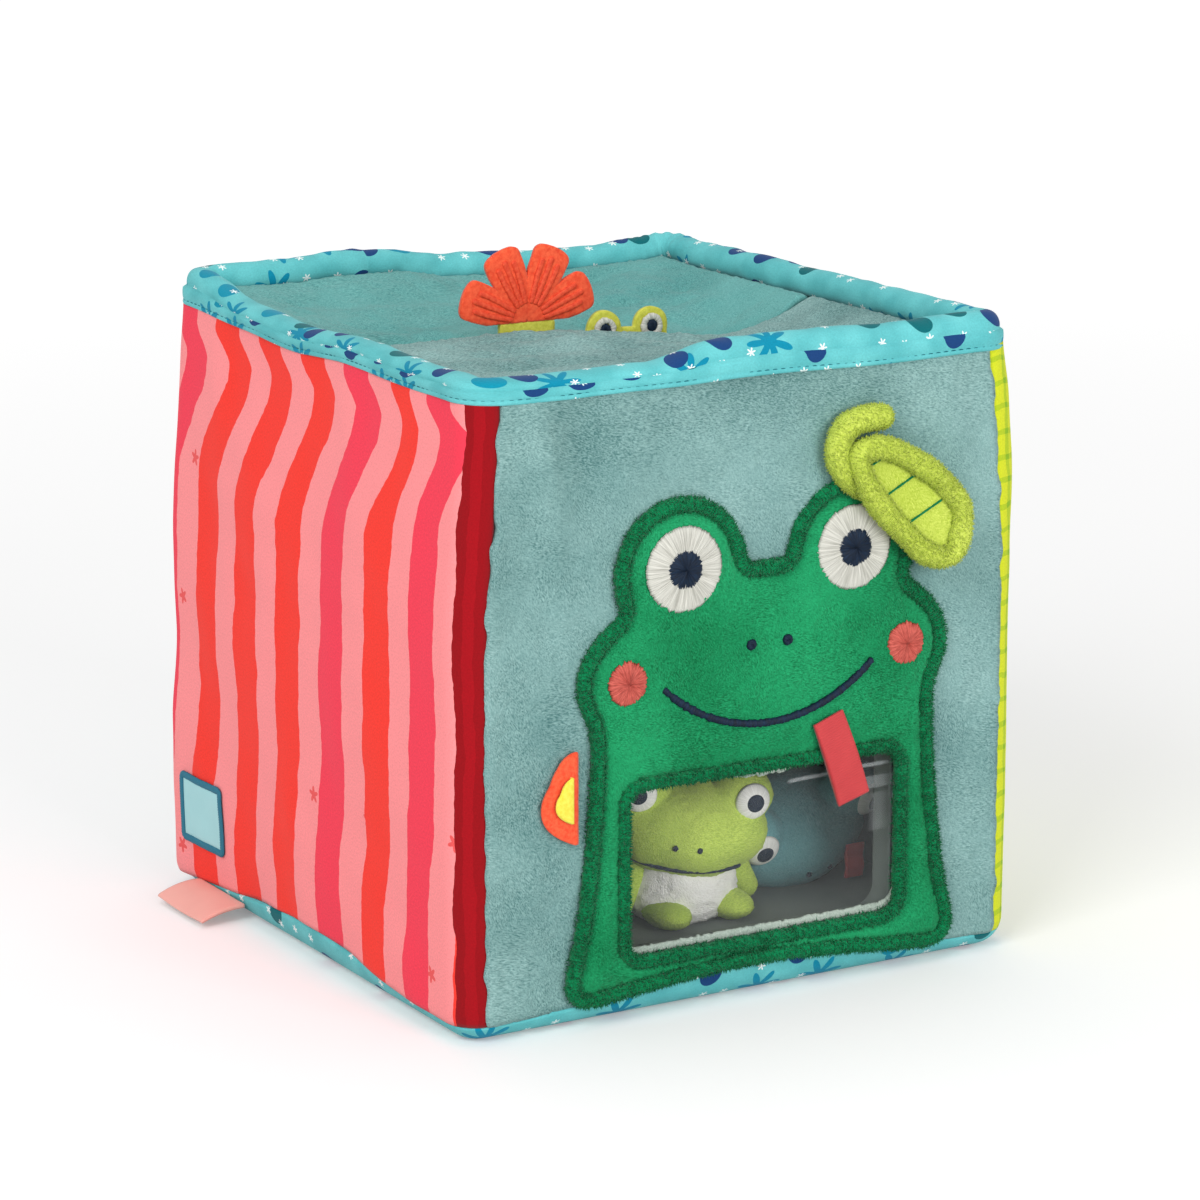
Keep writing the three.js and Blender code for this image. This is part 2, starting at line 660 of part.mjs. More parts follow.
// A leaf with a stuffed tube for its rim, round a flat padded back; its stalk is sewn to the panel.
function makeLeaf() {
  const holder = new THREE.Group();
  holder.position.set(leafX, eyeFront - seat, leafZ);
  holder.rotation.y = leafLean;
  cube.add(holder);
  const middle = leafLength / 2;
  const halfLength = middle - leafTubeRadius;
  const spine = leafHalfWidth - leafTubeRadius;
  const outlineAt = (angle) => {
    const pinched = Math.sign(Math.sin(angle)) * Math.abs(Math.sin(angle)) ** leafPinch;
    return new THREE.Vector3(middle - halfLength * Math.cos(angle), -leafTubeRadius, spine * pinched);
  };
  const steps = 24;
  const line = spread(0, 2 * Math.PI, steps).slice(0, -1).map(outlineAt);
  const outward = new THREE.Vector3(0, 1, 0);
  const sections = line.map((p, i) => {
    const along = line[(i + 1) % steps].clone().sub(line[(i + steps - 1) % steps]).normalize();
    const out = along.clone().cross(outward);
    return spread(0, 2 * Math.PI, 8).slice(0, -1).map((angle) => (
      p.clone()
        .addScaledVector(out, leafTubeRadius * Math.cos(angle))
        .addScaledVector(outward, leafTubeRadius * Math.sin(angle))));
  });
  const tube = solid(closedTube(sections));
  const back = new THREE.Shape(line.map((p) => new THREE.Vector2(p.x, p.z)));
  const backFront = -leafTubeRadius - leafBackThickness / 2;
  const sheet = solid(standing(back, backFront, backFront + leafBackThickness));
  const wider = solid(closedTube(sections.map((ring, i) => ring.map((q) => (
    line[i].clone().add(q.clone().sub(line[i]).multiplyScalar(1 + seat / leafTubeRadius)))))));
  place("leaf_rim", geometryOf(tube), finishes.leaf, holder);
  place("leaf_back", geometryOf(largestOf(sheet.subtract(wider))), finishes.leaf, holder);

  const curve = new THREE.QuadraticBezierCurve3(
    new THREE.Vector3(-leafTubeRadius - seat, 0, 0),
    new THREE.Vector3(-leafTubeRadius - seat, 0, stalkArch),
    new THREE.Vector3(stalkReach - leafTubeRadius, 0, stalkRise),
  );
  const section = discOutline(0, 0, stalkRadius);
  const stalk = new THREE.ExtrudeGeometry(section, { steps: 8, extrudePath: curve, curveSegments: 4 });
  const stalkHolder = new THREE.Group();
  stalkHolder.position.set(leafX, panelFront - leafTubeRadius, leafZ);
  cube.add(stalkHolder);
  place("leaf_stalk", stalk, finishes.leaf, stalkHolder);
}

// A tube that closes on itself: rings of points, the last joined to the first.
function closedTube(rings) {
  const count = rings[0].length;
  const total = rings.length * count;
  const positions = rings.flat().flatMap((p) => [p.x, p.y, p.z]);
  const indices = [];
  rings.forEach((ring, i) => ring.forEach((_, j) => {
    const a = i * count + j;
    const b = i * count + ((j + 1) % count);
    indices.push(a, b, (b + count) % total, a, (b + count) % total, (a + count) % total);
  }));
  return faceOutward(positions, indices);
}

function makeTabs() {
  const drop = (scale) => {
    const outline = new THREE.Shape();
    const half = (tagLength / 2) * scale;
    const reach = tagReach * scale;
    outline.moveTo(0, -half);
    for (const shares of [tagNeckShares, tagTopShares]) {
      outline.quadraticCurveTo(...shares.flatMap(([out, up]) => [-reach * out, half * up]));
    }
    outline.closePath();
    return outline;
  };
  const tag = new THREE.Group();
  tag.position.set(tagX, panelFront, tagZ);
  cube.add(tag);
  place("felt_tag", standing(drop(1), -tagThickness, 0, 8), finishes.coral, tag);
  const seed = place("tag_seed", standing(drop(seedShare), -tagThickness, 0, 8), finishes.yellow, tag);
  seed.position.set(-tagReach * seedShare * seedInsetShare, -tagThickness - seat, 0);

  // The patch follows the swell of the striped wall: a raised rim and the field inside it.
  const patchLine = flatLine(-1, "side", patchY - patchWidth / 2, patchY + patchWidth / 2, 3);
  const patchLevels = spread(patchZ - patchHeight / 2, patchZ + patchHeight / 2, 2);
  const whole = solid(wallLayer(patchLine, -seat - patchThickness, patchThickness, patchLevels));
  const cutDepth = 2 * (crownHeight + patchThickness + overrun);
  const cutter = (inset) => {
    const box = new THREE.BoxGeometry(cutDepth, patchWidth - 2 * inset, patchHeight - 2 * inset);
    return solid(box.translate(-halfWidth, patchY, patchZ));
  };
  place("patch_rim", geometryOf(whole.subtract(cutter(patchRim))), finishes.teal);
  place("patch_field", geometryOf(whole.intersect(cutter(patchRim + seat))), finishes.print);

  const label = new THREE.Group();
  label.position.set(-halfWidth + tuck(labelRootZ) - seat, labelY, labelRootZ);
  cube.add(label);
  const bend = new THREE.Shape();
  bend.moveTo(0, 0);
  bend.quadraticCurveTo(-labelReach / 2, 0, -labelReach, -labelDroop);
  bend.lineTo(-labelReach, -labelDroop - labelThickness);
  bend.quadraticCurveTo(-labelReach / 2, -labelThickness, 0, -labelThickness);
  bend.closePath();
  place("side_label", standing(bend, -labelWidth / 2, labelWidth / 2, 5), finishes.pink, label);
}

// Highest point of the rear flap's edge under something that stands on it: its facets are level between
// the points of the flap line, so the highest point is at one of them or at an end.
function flapTopUnder(fromX, toX) {
  const shares = [(hingeY - figureLine) / (hingeY - flapEdgeY(true)), 1];
  const step = flapLine[1] - flapLine[0];
  const heights = shares.flatMap((share) => (
    flapLine.filter((x) => x > fromX - step && x < toX + step).map((x) => flapHeight(x, share, true))));
  return Math.max(...heights);
}

function makePondFigures() {
  const front = feltY - feltThickness / 2;
  const back = feltY + feltThickness / 2;
  const stemLow = flapTopUnder(stemX - stemWidth / 2, stemX + stemWidth / 2) + seat;
  const block = (x, halfX, bottom, top) => {
    const box = new THREE.BoxGeometry(2 * halfX, feltThickness, top - bottom);
    return box.translate(x, feltY, (top + bottom) / 2);
  };
  place("flower_stem", block(stemX, stemWidth / 2, stemLow, stemTop), finishes.leaf);

  const shoulder = petalLength - petalHalfWidth * petalTipShare;
  const petals = petalAngles.map((angle) => {
    const outline = new THREE.Shape();
    outline.moveTo(0, -petalRootWidth / 2);
    outline.quadraticCurveTo(petalLength / 2, -petalHalfWidth, shoulder, -petalHalfWidth);
    outline.quadraticCurveTo(petalLength, -petalHalfWidth, petalLength, 0);
    outline.quadraticCurveTo(petalLength, petalHalfWidth, shoulder, petalHalfWidth);
    outline.quadraticCurveTo(petalLength / 2, petalHalfWidth, 0, petalRootWidth / 2);
    outline.closePath();
    const geometry = standing(outline, front, back, 5);
    geometry.rotateY(-angle);
    geometry.translate(stemX, 0, stemTop + seat);
    return solid(geometry);
  });
  const flower = petals.reduce((a, b) => a.add(b));
  const aboveStem = solid(block(stemX, 2 * petalLength, stemTop + seat, stemTop + 2 * petalLength));
  place("flower_petals", geometryOf(flower.intersect(aboveStem)), finishes.coral);

  const low = flapTopUnder(pondFrogX - pondFrogHalf, pondFrogX + pondFrogHalf) + seat;
  const head = new THREE.Shape();
  head.moveTo(pondFrogX - pondFrogHalf, low);
  head.lineTo(pondFrogX + pondFrogHalf, low);
  head.quadraticCurveTo(pondFrogX + pondFrogHalf, pondFrogTop, pondFrogX, pondFrogTop);
  head.quadraticCurveTo(pondFrogX - pondFrogHalf, pondFrogTop, pondFrogX - pondFrogHalf, low);
  const bumpAt = (side) => discOutline(pondFrogX + side * pondBumpSpread, pondFrogTop, pondBumpRadius);
  const bumps = [-1, 1].map((side) => solid(standing(bumpAt(side), front, back, 10)));
  const figure = bumps.reduce((a, b) => a.add(b), solid(standing(head, front, back, 8)));
  const aboveFlap = solid(block(pondFrogX, pondFrogHalf, low, pondFrogTop + 2 * pondBumpRadius));
  place("pond_frog", geometryOf(figure.intersect(aboveFlap)), finishes.leaf);
  for (const [side, word] of [[-1, "left"], [1, "right"]]) {
    const eye = discOutline(pondFrogX + side * pondBumpSpread, pondFrogTop, pondEyeRadius);
    const stitches = standing(eye, front - seat - stitchThickness, front - seat, 8);
    place(`pond_frog_${word}_eye`, stitches, finishes.white);
  }
}

// A stuffed frog: a broad head with two bulbs, a body that swells and tapers, arms, feet and stitched eyes.
// Lying down, its body reaches back from the head instead of down.
function makeToyFrog(name, at, roll, lying, skin, belly) {
  const holder = new THREE.Group();
  holder.position.copy(at);
  cube.add(holder);
  const turn = new THREE.Matrix4().makeRotationY(roll);

  const headSolid = (margin) => {
    const ball = new THREE.SphereGeometry(1, 16, 10);
    ball.scale(toyHead.x + margin, toyHead.y + margin, toyHead.z + margin);
    const points = ball.attributes.position;
    for (let i = 0; i < points.count; i++) {
      const share = 1 - (toyHeadTaper * points.getZ(i)) / toyHead.z;
      points.setXY(i, points.getX(i) * share, points.getY(i) * share);
    }
    ball.applyMatrix4(turn);
    const bulbs = [-1, 1].map((side) => {
      const bulb = new THREE.SphereGeometry(toyBulbRadius + margin, 10, 6);
      bulb.translate(side * toyBulbSpread, -toyBulbForward, toyBulbRise);
      return solid(bulb.applyMatrix4(turn));
    });
    return bulbs.reduce((a, b) => a.add(b), solid(ball));
  };

  const bodyDepth = toyBodyRadius * toyBodyFlatShare;
  const bodyTurn = new THREE.Matrix4().makeRotationX(lying ? Math.PI / 2 : 0);
  bodyTurn.setPosition(0, 0, lying ? toyFloor + bodyDepth - at.z : 0);
  const reach = (lying ? toyHead.y : toyHead.z) / 2;
  const bodySolid = (margin) => {
    const profile = toyBodyShares.map(([out, down]) => (
      new THREE.Vector2(out * (toyBodyRadius + margin), -down * (toyBodyLength + margin))));
    const body = new THREE.LatheGeometry(profile, 14);
    body.rotateX(Math.PI / 2);
    body.scale(1, toyBodyFlatShare, 1);
    body.translate(0, 0, -reach);
    return solid(body.applyMatrix4(bodyTurn));
  };

  const head = headSolid(0);
  const headRoom = headSolid(seat);
  const body = bodySolid(0).subtract(headRoom);
  const bodyRoom = bodySolid(seat);
  const limb = (geometry) => geometryOf(largestOf(solid(geometry).subtract(bodyRoom).subtract(headRoom)));
  place(`${name}_head`, geometryOf(head), skin, holder);
  place(`${name}_body`, geometryOf(largestOf(body)), belly, holder);

  for (const [side, word] of [[-1, "left"], [1, "right"]]) {
    const arm = new THREE.CapsuleGeometry(toyArmRadius, toyArmLength - 2 * toyArmRadius, 3, 8);
    arm.rotateZ(side * toyArmLean);
    arm.rotateX(Math.PI / 2);
    arm.translate(side * (toyBodyRadius + toyArmRadius / 2), 0, -reach - toyBodyLength / 2);
    place(`${name}_${word}_arm`, limb(arm.applyMatrix4(bodyTurn)), skin, holder);

    const foot = new THREE.SphereGeometry(1, 10, 6);
    const [footDepth, footRise] = lying ? [toyFoot.z, toyFoot.y] : [toyFoot.y, toyFoot.z];
    foot.scale(toyFoot.x, footDepth, footRise);
    const footY = lying ? footDepth - bodyDepth : -toyHead.y / 2;
    foot.translate(side * toyBodyRadius * footSpreadShare, footY, footRise - reach - toyBodyLength);
    place(`${name}_${word}_foot`, limb(foot.applyMatrix4(bodyTurn)), skin, holder);

    const eye = new THREE.SphereGeometry(toyEyeRadius, 10, 6);
    const eyeY = -toyBulbForward - toyBulbRadius + 2 * stitchThickness;
    eye.translate(side * toyBulbSpread, eyeY, toyBulbRise);
    const reached = solid(eye.applyMatrix4(turn)).subtract(headRoom);
    place(`${name}_${word}_eye`, geometryOf(largestOf(reached)), finishes.white, holder);
  }
  if (lying) {
    const tongue = new THREE.BoxGeometry(ribbonWidth / 2, ribbonThickness, ribbonWidth);
    const [across, forward, down] = toyTongueShares;
    tongue.translate(toyHead.x * across, -toyHead.y * forward, -toyHead.z * down);
    const free = solid(tongue.applyMatrix4(turn)).subtract(headRoom);
    place(`${name}_ribbon`, geometryOf(largestOf(free)), finishes.ribbon, holder);
  }
}

function largestOf(manifold) {
  return manifold.decompose().reduce((a, b) => (a.volume() > b.volume() ? a : b));
}

export default cube;
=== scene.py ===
# %% [markdown]
# # A soft activity cube
# The real cube is sewn from plush and printed cotton over foam boards. A padded binding goes round its
# open top, two plush flaps close it and leave a slit, and a frog is sewn round a clear window. The
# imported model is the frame: it says where each piece is and what it moves with. This file gives each
# piece its cloth, its stuffing and its stitches, as surfaces worked out with numpy.

# %% Frame
import math

import bpy
import numpy as np
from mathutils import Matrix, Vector


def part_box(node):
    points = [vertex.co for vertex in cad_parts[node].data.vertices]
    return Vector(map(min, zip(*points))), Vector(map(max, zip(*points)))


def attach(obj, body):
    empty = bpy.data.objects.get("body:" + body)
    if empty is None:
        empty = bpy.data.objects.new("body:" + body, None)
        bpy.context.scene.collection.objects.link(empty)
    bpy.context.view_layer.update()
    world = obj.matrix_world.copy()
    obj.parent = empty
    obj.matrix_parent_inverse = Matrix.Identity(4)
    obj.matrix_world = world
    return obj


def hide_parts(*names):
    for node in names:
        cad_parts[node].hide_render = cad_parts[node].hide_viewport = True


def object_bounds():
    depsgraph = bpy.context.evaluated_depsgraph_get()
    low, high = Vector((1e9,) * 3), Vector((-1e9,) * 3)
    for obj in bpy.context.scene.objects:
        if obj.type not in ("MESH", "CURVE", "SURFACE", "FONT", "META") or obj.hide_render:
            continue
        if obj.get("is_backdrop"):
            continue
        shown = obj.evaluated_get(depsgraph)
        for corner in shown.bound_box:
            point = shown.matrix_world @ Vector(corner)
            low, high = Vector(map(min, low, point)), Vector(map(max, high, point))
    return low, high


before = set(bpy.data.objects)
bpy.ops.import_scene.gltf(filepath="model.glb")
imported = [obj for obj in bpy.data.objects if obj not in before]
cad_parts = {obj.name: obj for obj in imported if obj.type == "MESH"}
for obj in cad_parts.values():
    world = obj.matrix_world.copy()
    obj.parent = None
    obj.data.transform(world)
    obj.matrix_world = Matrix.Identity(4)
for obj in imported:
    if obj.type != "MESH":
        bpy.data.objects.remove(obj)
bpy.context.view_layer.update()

# %% [markdown]
# ## Camera, floor and light
# The photograph is taken from a little above and to the left, with a long lens. The floor and the
# backdrop are white, and the light comes from big soft boxes, so shadows are pale. The floor adds a
# little light of its own for the camera alone, which keeps it white round a soft shadow.

# %% Camera
scene = bpy.context.scene
camera_place = Vector((-0.6168, -1.0547, 0.3868))
camera_target = Vector((0.0043, -0.0025, 0.0969))
lens = bpy.data.cameras.new("photo_camera")
lens.sensor_width = 36
lens.lens = 126.6
camera = bpy.data.objects.new("photo_camera", lens)
camera.location = camera_place
camera.rotation_euler = (camera_target - camera_place).to_track_quat("-Z", "Y").to_euler()
scene.collection.objects.link(camera)
scene.camera = camera
scene.view_settings.view_transform = "Standard"


# %% Node helper
def node(tree, kind, inputs=None, **settings):
    """Adds a shader node. An input is given as a value or as another node's output."""
    made = tree.nodes.new("ShaderNode" + kind)
    for name, value in settings.items():
        setattr(made, name, value)
    for name, value in (inputs or {}).items():
        if isinstance(value, bpy.types.NodeSocket):
            tree.links.new(value, made.inputs[name])
        else:
            made.inputs[name].default_value = value
    return made


def calc(tree, operation, *values, clamp=False):
    """One step of arithmetic in the shader, on numbers."""
    return node(tree, "Math", dict(enumerate(values)), operation=operation, use_clamp=clamp).outputs[0]


def seen_directly(tree):
    """1 for a ray from the camera, also by a mirror or through a clear sheet, and 0 for the others."""
    rays = node(tree, "LightPath").outputs
    seen = calc(tree, "MAXIMUM", rays["Is Camera Ray"], rays["Is Glossy Ray"])
    return calc(tree, "MAXIMUM", seen, rays["Is Transmission Ray"])


# %% Floor, backdrop and lamps
floor_size = 12
white = (1, 1, 1, 1)
floor_mesh = bpy.data.meshes.new("floor")
corners = [(-1, -1, 0), (1, -1, 0), (1, 1, 0), (-1, 1, 0)]
floor_mesh.from_pydata([Vector(c) * floor_size / 2 for c in corners], [], [(0, 1, 2, 3)])
floor = bpy.data.objects.new("floor", floor_mesh)
scene.collection.objects.link(floor)
floor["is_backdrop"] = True
floor_paint = bpy.data.materials.new("floor_paint")
floor_paint.use_nodes = True
tree = floor_paint.node_tree
tree.nodes.clear()
place = node(tree, "TexCoord").outputs["Object"]
away = node(tree, "VectorMath", {0: place}, operation="LENGTH").outputs["Value"]
ends = {"Value": away, "From Min": 0.15, "From Max": 2.2, "To Min": 0.235, "To Max": 0.64}
own = node(tree, "MapRange", ends, interpolation_type="SMOOTHSTEP").outputs[0]
glow = node(tree, "Emission", {"Color": white, "Strength": calc(tree, "MULTIPLY", seen_directly(tree), own)})
paint = node(tree, "BsdfDiffuse", {"Color": (0.78, 0.78, 0.78, 1)})
both = node(tree, "AddShader", {0: paint.outputs[0], 1: glow.outputs[0]})
node(tree, "OutputMaterial", {"Surface": both.outputs[0]})
floor_mesh.materials.append(floor_paint)

world = bpy.data.worlds.new("studio")
scene.world = world
world.use_nodes = True
tree = world.node_tree
tree.nodes.clear()
level = calc(tree, "ADD", calc(tree, "MULTIPLY", seen_directly(tree), 0.5), 0.5)
sky = node(tree, "Background", {"Color": white, "Strength": level})
node(tree, "OutputWorld", {"Surface": sky.outputs[0]})


def lamp(name, place, size, watts):
    """A square soft box that points at the cube."""
    data = bpy.data.lights.new(name, "AREA")
    data.size = size
    data.energy = watts
    made = bpy.data.objects.new(name, data)
    made.location = place
    made.rotation_euler = (camera_target - Vector(place)).to_track_quat("-Z", "Y").to_euler()
    scene.collection.objects.link(made)


lamp("left_box", (-1.5, -0.9, 1.3), 1.0, 21)
lamp("front_box", (0.25, -1.95, 0.5), 1.0, 18.5)
lamp("top_box", (0.1, 0.3, 1.9), 1.2, 7)

# %% [markdown]
# ## Sizes
# All sizes are in metres, written in millimetres times mm. They are the same driving sizes as the
# construction's, so a surface here lies on its solid there.

# %% Sizes of the cube
mm = 0.001
width, depth, height = 186 * mm, 186 * mm, 190 * mm
half_x, half_y = width / 2, depth / 2
corner = 10 * mm
seam_x, seam_y = half_x - corner, half_y - corner
rim_width = 177 * mm
lean_start = 112 * mm
base_radius = 9 * mm
crown = 1.8 * mm
base_edge_low, base_edge_arch = 5 * mm, 5.5 * mm
cover_thickness = 2.4 * mm
gap = 0.3 * mm
binding_radius = 4.7 * mm
binding_corner = 6.5 * mm
binding_x = rim_width / 2 - binding_radius
binding_y = half_y - binding_radius
binding_z = height - binding_radius
cover_top = 180.76 * mm
wall_top = 174 * mm
centre = np.array([0, 0, height / 2])


# %% [markdown]
# ## Shapes as arrays
# Every piece is worked out as one array of points: a grid over two parameters, a section carried along
# a path, or a sheet cut to an outline. The helpers below turn such an array into a mesh with a cloth
# map (UV) in metres, so that prints and stripes keep their real size and follow the surface.

# %% Array helpers
def smooth(t):
    """0 below 0, 1 above 1, and an even rise between: 3t squared minus 2t cubed."""
    t = np.clip(t, 0, 1)
    return t * t * (3 - 2 * t)


def grid_of(*parts):
    """Arrays spread over one grid, put together as its points."""
    return np.stack(np.broadcast_arrays(*parts), -1)


def waves(points, length, seed, count=14):
    """Soft unevenness from -1 to 1: the mean of sine waves of about one length in random directions."""
    random = np.random.default_rng(seed)
    turns = random.normal(size=(count, points.shape[-1]))
    turns /= np.linalg.norm(turns, axis=1, keepdims=True)
    turns *= 2 * math.pi / length * random.uniform(0.6, 1.5, (count, 1))
    return np.sin(points @ turns.T + random.uniform(0, 2 * math.pi, count)).sum(-1) / math.sqrt(count) * 0.8


def grid_faces(nu, nv, closed):
    """The quads of a grid, and their corners in a cloth map that isn't joined where the grid is."""
    cu, cv = nu - 1 + closed[0], nv - 1 + closed[1]
    i, j = np.meshgrid(np.arange(cu), np.arange(cv), indexing="ij")
    around = [(i, j), (i + 1, j), (i + 1, j + 1), (i, j + 1)]
    faces = np.stack([(a % nu) * nv + b % nv for a, b in around], -1).reshape(-1, 4)
    cloth = np.stack([a * (cv + 1) + b for a, b in around], -1).reshape(-1, 4)
    return faces, cloth


def face_normals(points, faces):
    a, b, c = (points[faces[:, k]] for k in (0, 1, 2))
    return np.cross(b - a, c - a)


def piece(name, points, faces, finish, replaced=(), body="cube", cloth=None, cloth_map=None,
          outward=None, thickness=0.0):
    """Makes a mesh object in one of the finishes. Its faces turn out of its closed body. A thickness makes
    a sheet a closed shell that grows inward; its faces turn away from the point outward, or else from the
    cube's middle."""
    points = np.asarray(points, float).reshape(-1, 3)
    cloth = faces if cloth is None else cloth
    if outward is None:
        outward = centre if thickness else np.zeros(3)
    if ((points[faces[:, 0]] - outward) * face_normals(points, faces)).sum() < 0:
        faces, cloth = faces[:, ::-1], cloth[:, ::-1]
    real = faces != np.roll(faces, 1, axis=1)
    whole = real.sum(1) > 2
    faces, cloth, real = faces[whole], cloth[whole], real[whole]
    mesh = bpy.data.meshes.new(name)
    mesh.vertices.add(len(points))
    mesh.vertices.foreach_set("co", points.astype(np.float32).ravel())
    mesh.loops.add(int(real.sum()))
    mesh.loops.foreach_set("vertex_index", faces[real].astype(np.int32))
    mesh.polygons.add(len(faces))
    starts = np.cumsum(real.sum(1)) - real.sum(1)
    mesh.polygons.foreach_set("loop_start", starts.astype(np.int32))
    mesh.update(calc_edges=True)
    mesh.shade_smooth()
    if cloth_map is not None:
        layer = mesh.uv_layers.new(name="cloth")
        layer.data.foreach_set("uv", cloth_map.reshape(-1, 2)[cloth[real]].astype(np.float32).ravel())
    if mesh.validate():
        print("mended:", name)
    mesh.materials.append(finishes[finish])
    made = bpy.data.objects.new(name, mesh)
    scene.collection.objects.link(made)
    if thickness:
        shell = made.modifiers.new("shell", "SOLIDIFY")
        shell.thickness = thickness
        shell.offset = -1
    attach(made, body)
    if replaced:
        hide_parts(*replaced)
    return made


def ring_cap(ring):
    """Faces that close a ring of points: strips across it, from each point to its mirror image."""
    n = len(ring)
    k = np.arange(n // 2)
    return np.stack([ring[k], ring[k + 1], ring[(n - k - 1) % n], ring[(n - k) % n]], -1)


def grid_piece(name, points, finish, replaced=(), closed=(False, False), cloth_map=None,
               caps=(False, False), **rest):
    """A piece from a grid of points. Caps close the first and the last ring of its second parameter."""
    nu, nv = points.shape[:2]
    faces, cloth = grid_faces(nu, nv, closed)
    if cloth_map is None:
        across = np.linspace(0, 1, nu + closed[0])[:, None]
        along = np.linspace(0, 1, nv + closed[1])[None, :]
        cloth_map = grid_of(across, along)
    for row, wanted in zip((0, nv - 1), caps):
        if wanted:
            way = 1 if row else -1
            faces = np.vstack([faces, ring_cap(np.arange(nu) * nv + row)[:, ::way]])
            cloth = np.vstack([cloth, ring_cap(np.arange(nu) * (nv + closed[1]) + row)[:, ::way]])
    return piece(name, points, faces, finish, replaced, cloth=cloth, cloth_map=cloth_map, **rest)


def as_sheet(made):
    """Reads a piece's cloth map and works out, for each corner of a face, the corner that follows it round
    that face. Nothing is kept, and the piece is returned unchanged."""
    mesh = made.data
    flat = np.empty(len(mesh.loops) * 2)
    mesh.uv_layers["cloth"].data.foreach_get("uv", flat)
    flat = flat.reshape(-1, 2)
    starts = np.empty(len(mesh.polygons), int)
    mesh.polygons.foreach_get("loop_start", starts)
    after = np.arange(len(flat)) + 1
    after[starts - 1] = np.roll(starts, 1)
    return made


def unit(v):
    return v / np.maximum(np.linalg.norm(v, axis=-1, keepdims=True), 1e-12)


def carried(path, section, up, closed):
    """A section carried along a path. A point of the section lies at the path's point, plus its first
    number times the direction square to the path and to up, plus its second times the direction
    square to both. The result is a grid: round the section first, along the path second."""
    before, after = np.roll(path, 1, 0), np.roll(path, -1, 0)
    if not closed:
        before[0], after[-1] = path[0], path[-1]
    along = unit(after - before)
    side = unit(np.cross(along, np.asarray(up, float)))
    over = np.cross(side, along)
    points = path[:, None] + section[..., :1] * side[:, None] + section[..., 1:] * over[:, None]
    return points.transpose(1, 0, 2)


def lengths_along(path, closed=False):
    """How far along a path each of its points lies; a closed path has one value more, its whole length."""
    ends = np.vstack([path, path[:1]]) if closed else path
    return np.concatenate([[0], np.cumsum(np.linalg.norm(np.diff(ends, axis=0), axis=1))])


def even(path, step, closed=False):
    """The same path with points about one step apart."""
    line = np.vstack([path, path[:1]]) if closed else path
    run = lengths_along(line)
    count = max(int(round(run[-1] / step)), 4)
    at = np.linspace(0, run[-1], count + 1)[: count if closed else count + 1]
    return np.column_stack([np.interp(at, run, line[:, k]) for k in range(line.shape[1])])


def softened(path, times):
    """A closed path whose corners are rounded: each point moves to the mean of itself and its neighbours."""
    for _ in range(times):
        path = (np.roll(path, 1, 0) + 2 * path + np.roll(path, -1, 0)) / 4
    return path


def arc(cx, cz, radius, start, end, count):
    """Points of an arc in degrees, as x and z."""
    a = np.radians(np.linspace(start, end, count))
    return np.column_stack([cx + radius * np.cos(a), cz + radius * np.sin(a)])


def rounded_rectangle(cx, cz, w, h, radius, start, count):
    """The four arcs of a rectangle with half sizes w and h. The first arc starts at an angle."""
    corners = [(a, np.sign(np.cos(np.radians(a + 45))), np.sign(np.sin(np.radians(a + 45))))
               for a in range(start, start + 360, 90)]
    return np.vstack([arc(cx + right * (w - radius), cz + up * (h - radius), radius, a, a + 90, count)
                      for a, right, up in corners])


def nearest(outline, points):
    """For each point: how far it is from a closed outline, less than zero inside, and the nearest point."""
    a = outline
    step = np.roll(a, -1, 0) - a
    far, spot = np.empty(len(points)), np.empty_like(points)
    for start in range(0, len(points), 2000):
        p = points[start:start + 2000, None]
        t = np.clip(((p - a) * step).sum(-1) / (step ** 2).sum(-1), 0, 1)
        foot = a + t[..., None] * step
        away = np.linalg.norm(p - foot, axis=-1)
        best = away.argmin(1)
        rows = np.arange(len(best))
        crossed = ((a[:, 1] > p[..., 1]) != (a[:, 1] + step[:, 1] > p[..., 1]))
        rise = np.where(step[:, 1] == 0, 1e-12, step[:, 1])
        hits = crossed & (p[..., 0] < a[:, 0] + (p[..., 1] - a[:, 1]) / rise * step[:, 0])
        inside = hits.sum(1) % 2 == 1
        far[start:start + 2000] = np.where(inside, -1, 1) * away[rows, best]
        spot[start:start + 2000] = foot[rows, best]
    return far, spot


def trimmed(points, far, spot, shape, limit):
    """Keeps the squares of a grid whose mean distance from the outline is below a limit, and moves the
    corners at their edge onto it. Gives the points, their depth inside the edge, and the faces."""
    faces = grid_faces(*shape, (False, False))[0]
    kept = far[faces].mean(1) < limit
    used = np.bincount(faces[kept].ravel(), minlength=len(points))
    total = np.bincount(faces.ravel(), minlength=len(points))
    rim = (used > 0) & (used < total)
    points[rim] = spot[rim]
    far[rim] = 0
    order = np.cumsum(used > 0) - 1
    return points[used > 0], -np.minimum(far[used > 0], 0), order[faces[kept]]


def cut_sheet(outline, pitch, holes=()):
    """A sheet cut to an outline, with holes: the squares of a grid that lie inside."""
    low, high = outline.min(0) - pitch, outline.max(0) + pitch
    xs, zs = (np.arange(low[k], high[k] + pitch, pitch) for k in (0, 1))
    points = np.stack(np.meshgrid(xs, zs, indexing="ij"), -1).reshape(-1, 2)
    far, spot = nearest(outline, points)
    for hole in holes:
        hole_far, hole_spot = nearest(hole, points)
        closer = -hole_far > far
        far = np.where(closer, -hole_far, far)
        spot = np.where(closer[:, None], hole_spot, spot)
    return trimmed(points, far, spot, (len(xs), len(zs)), -0.05 * pitch)


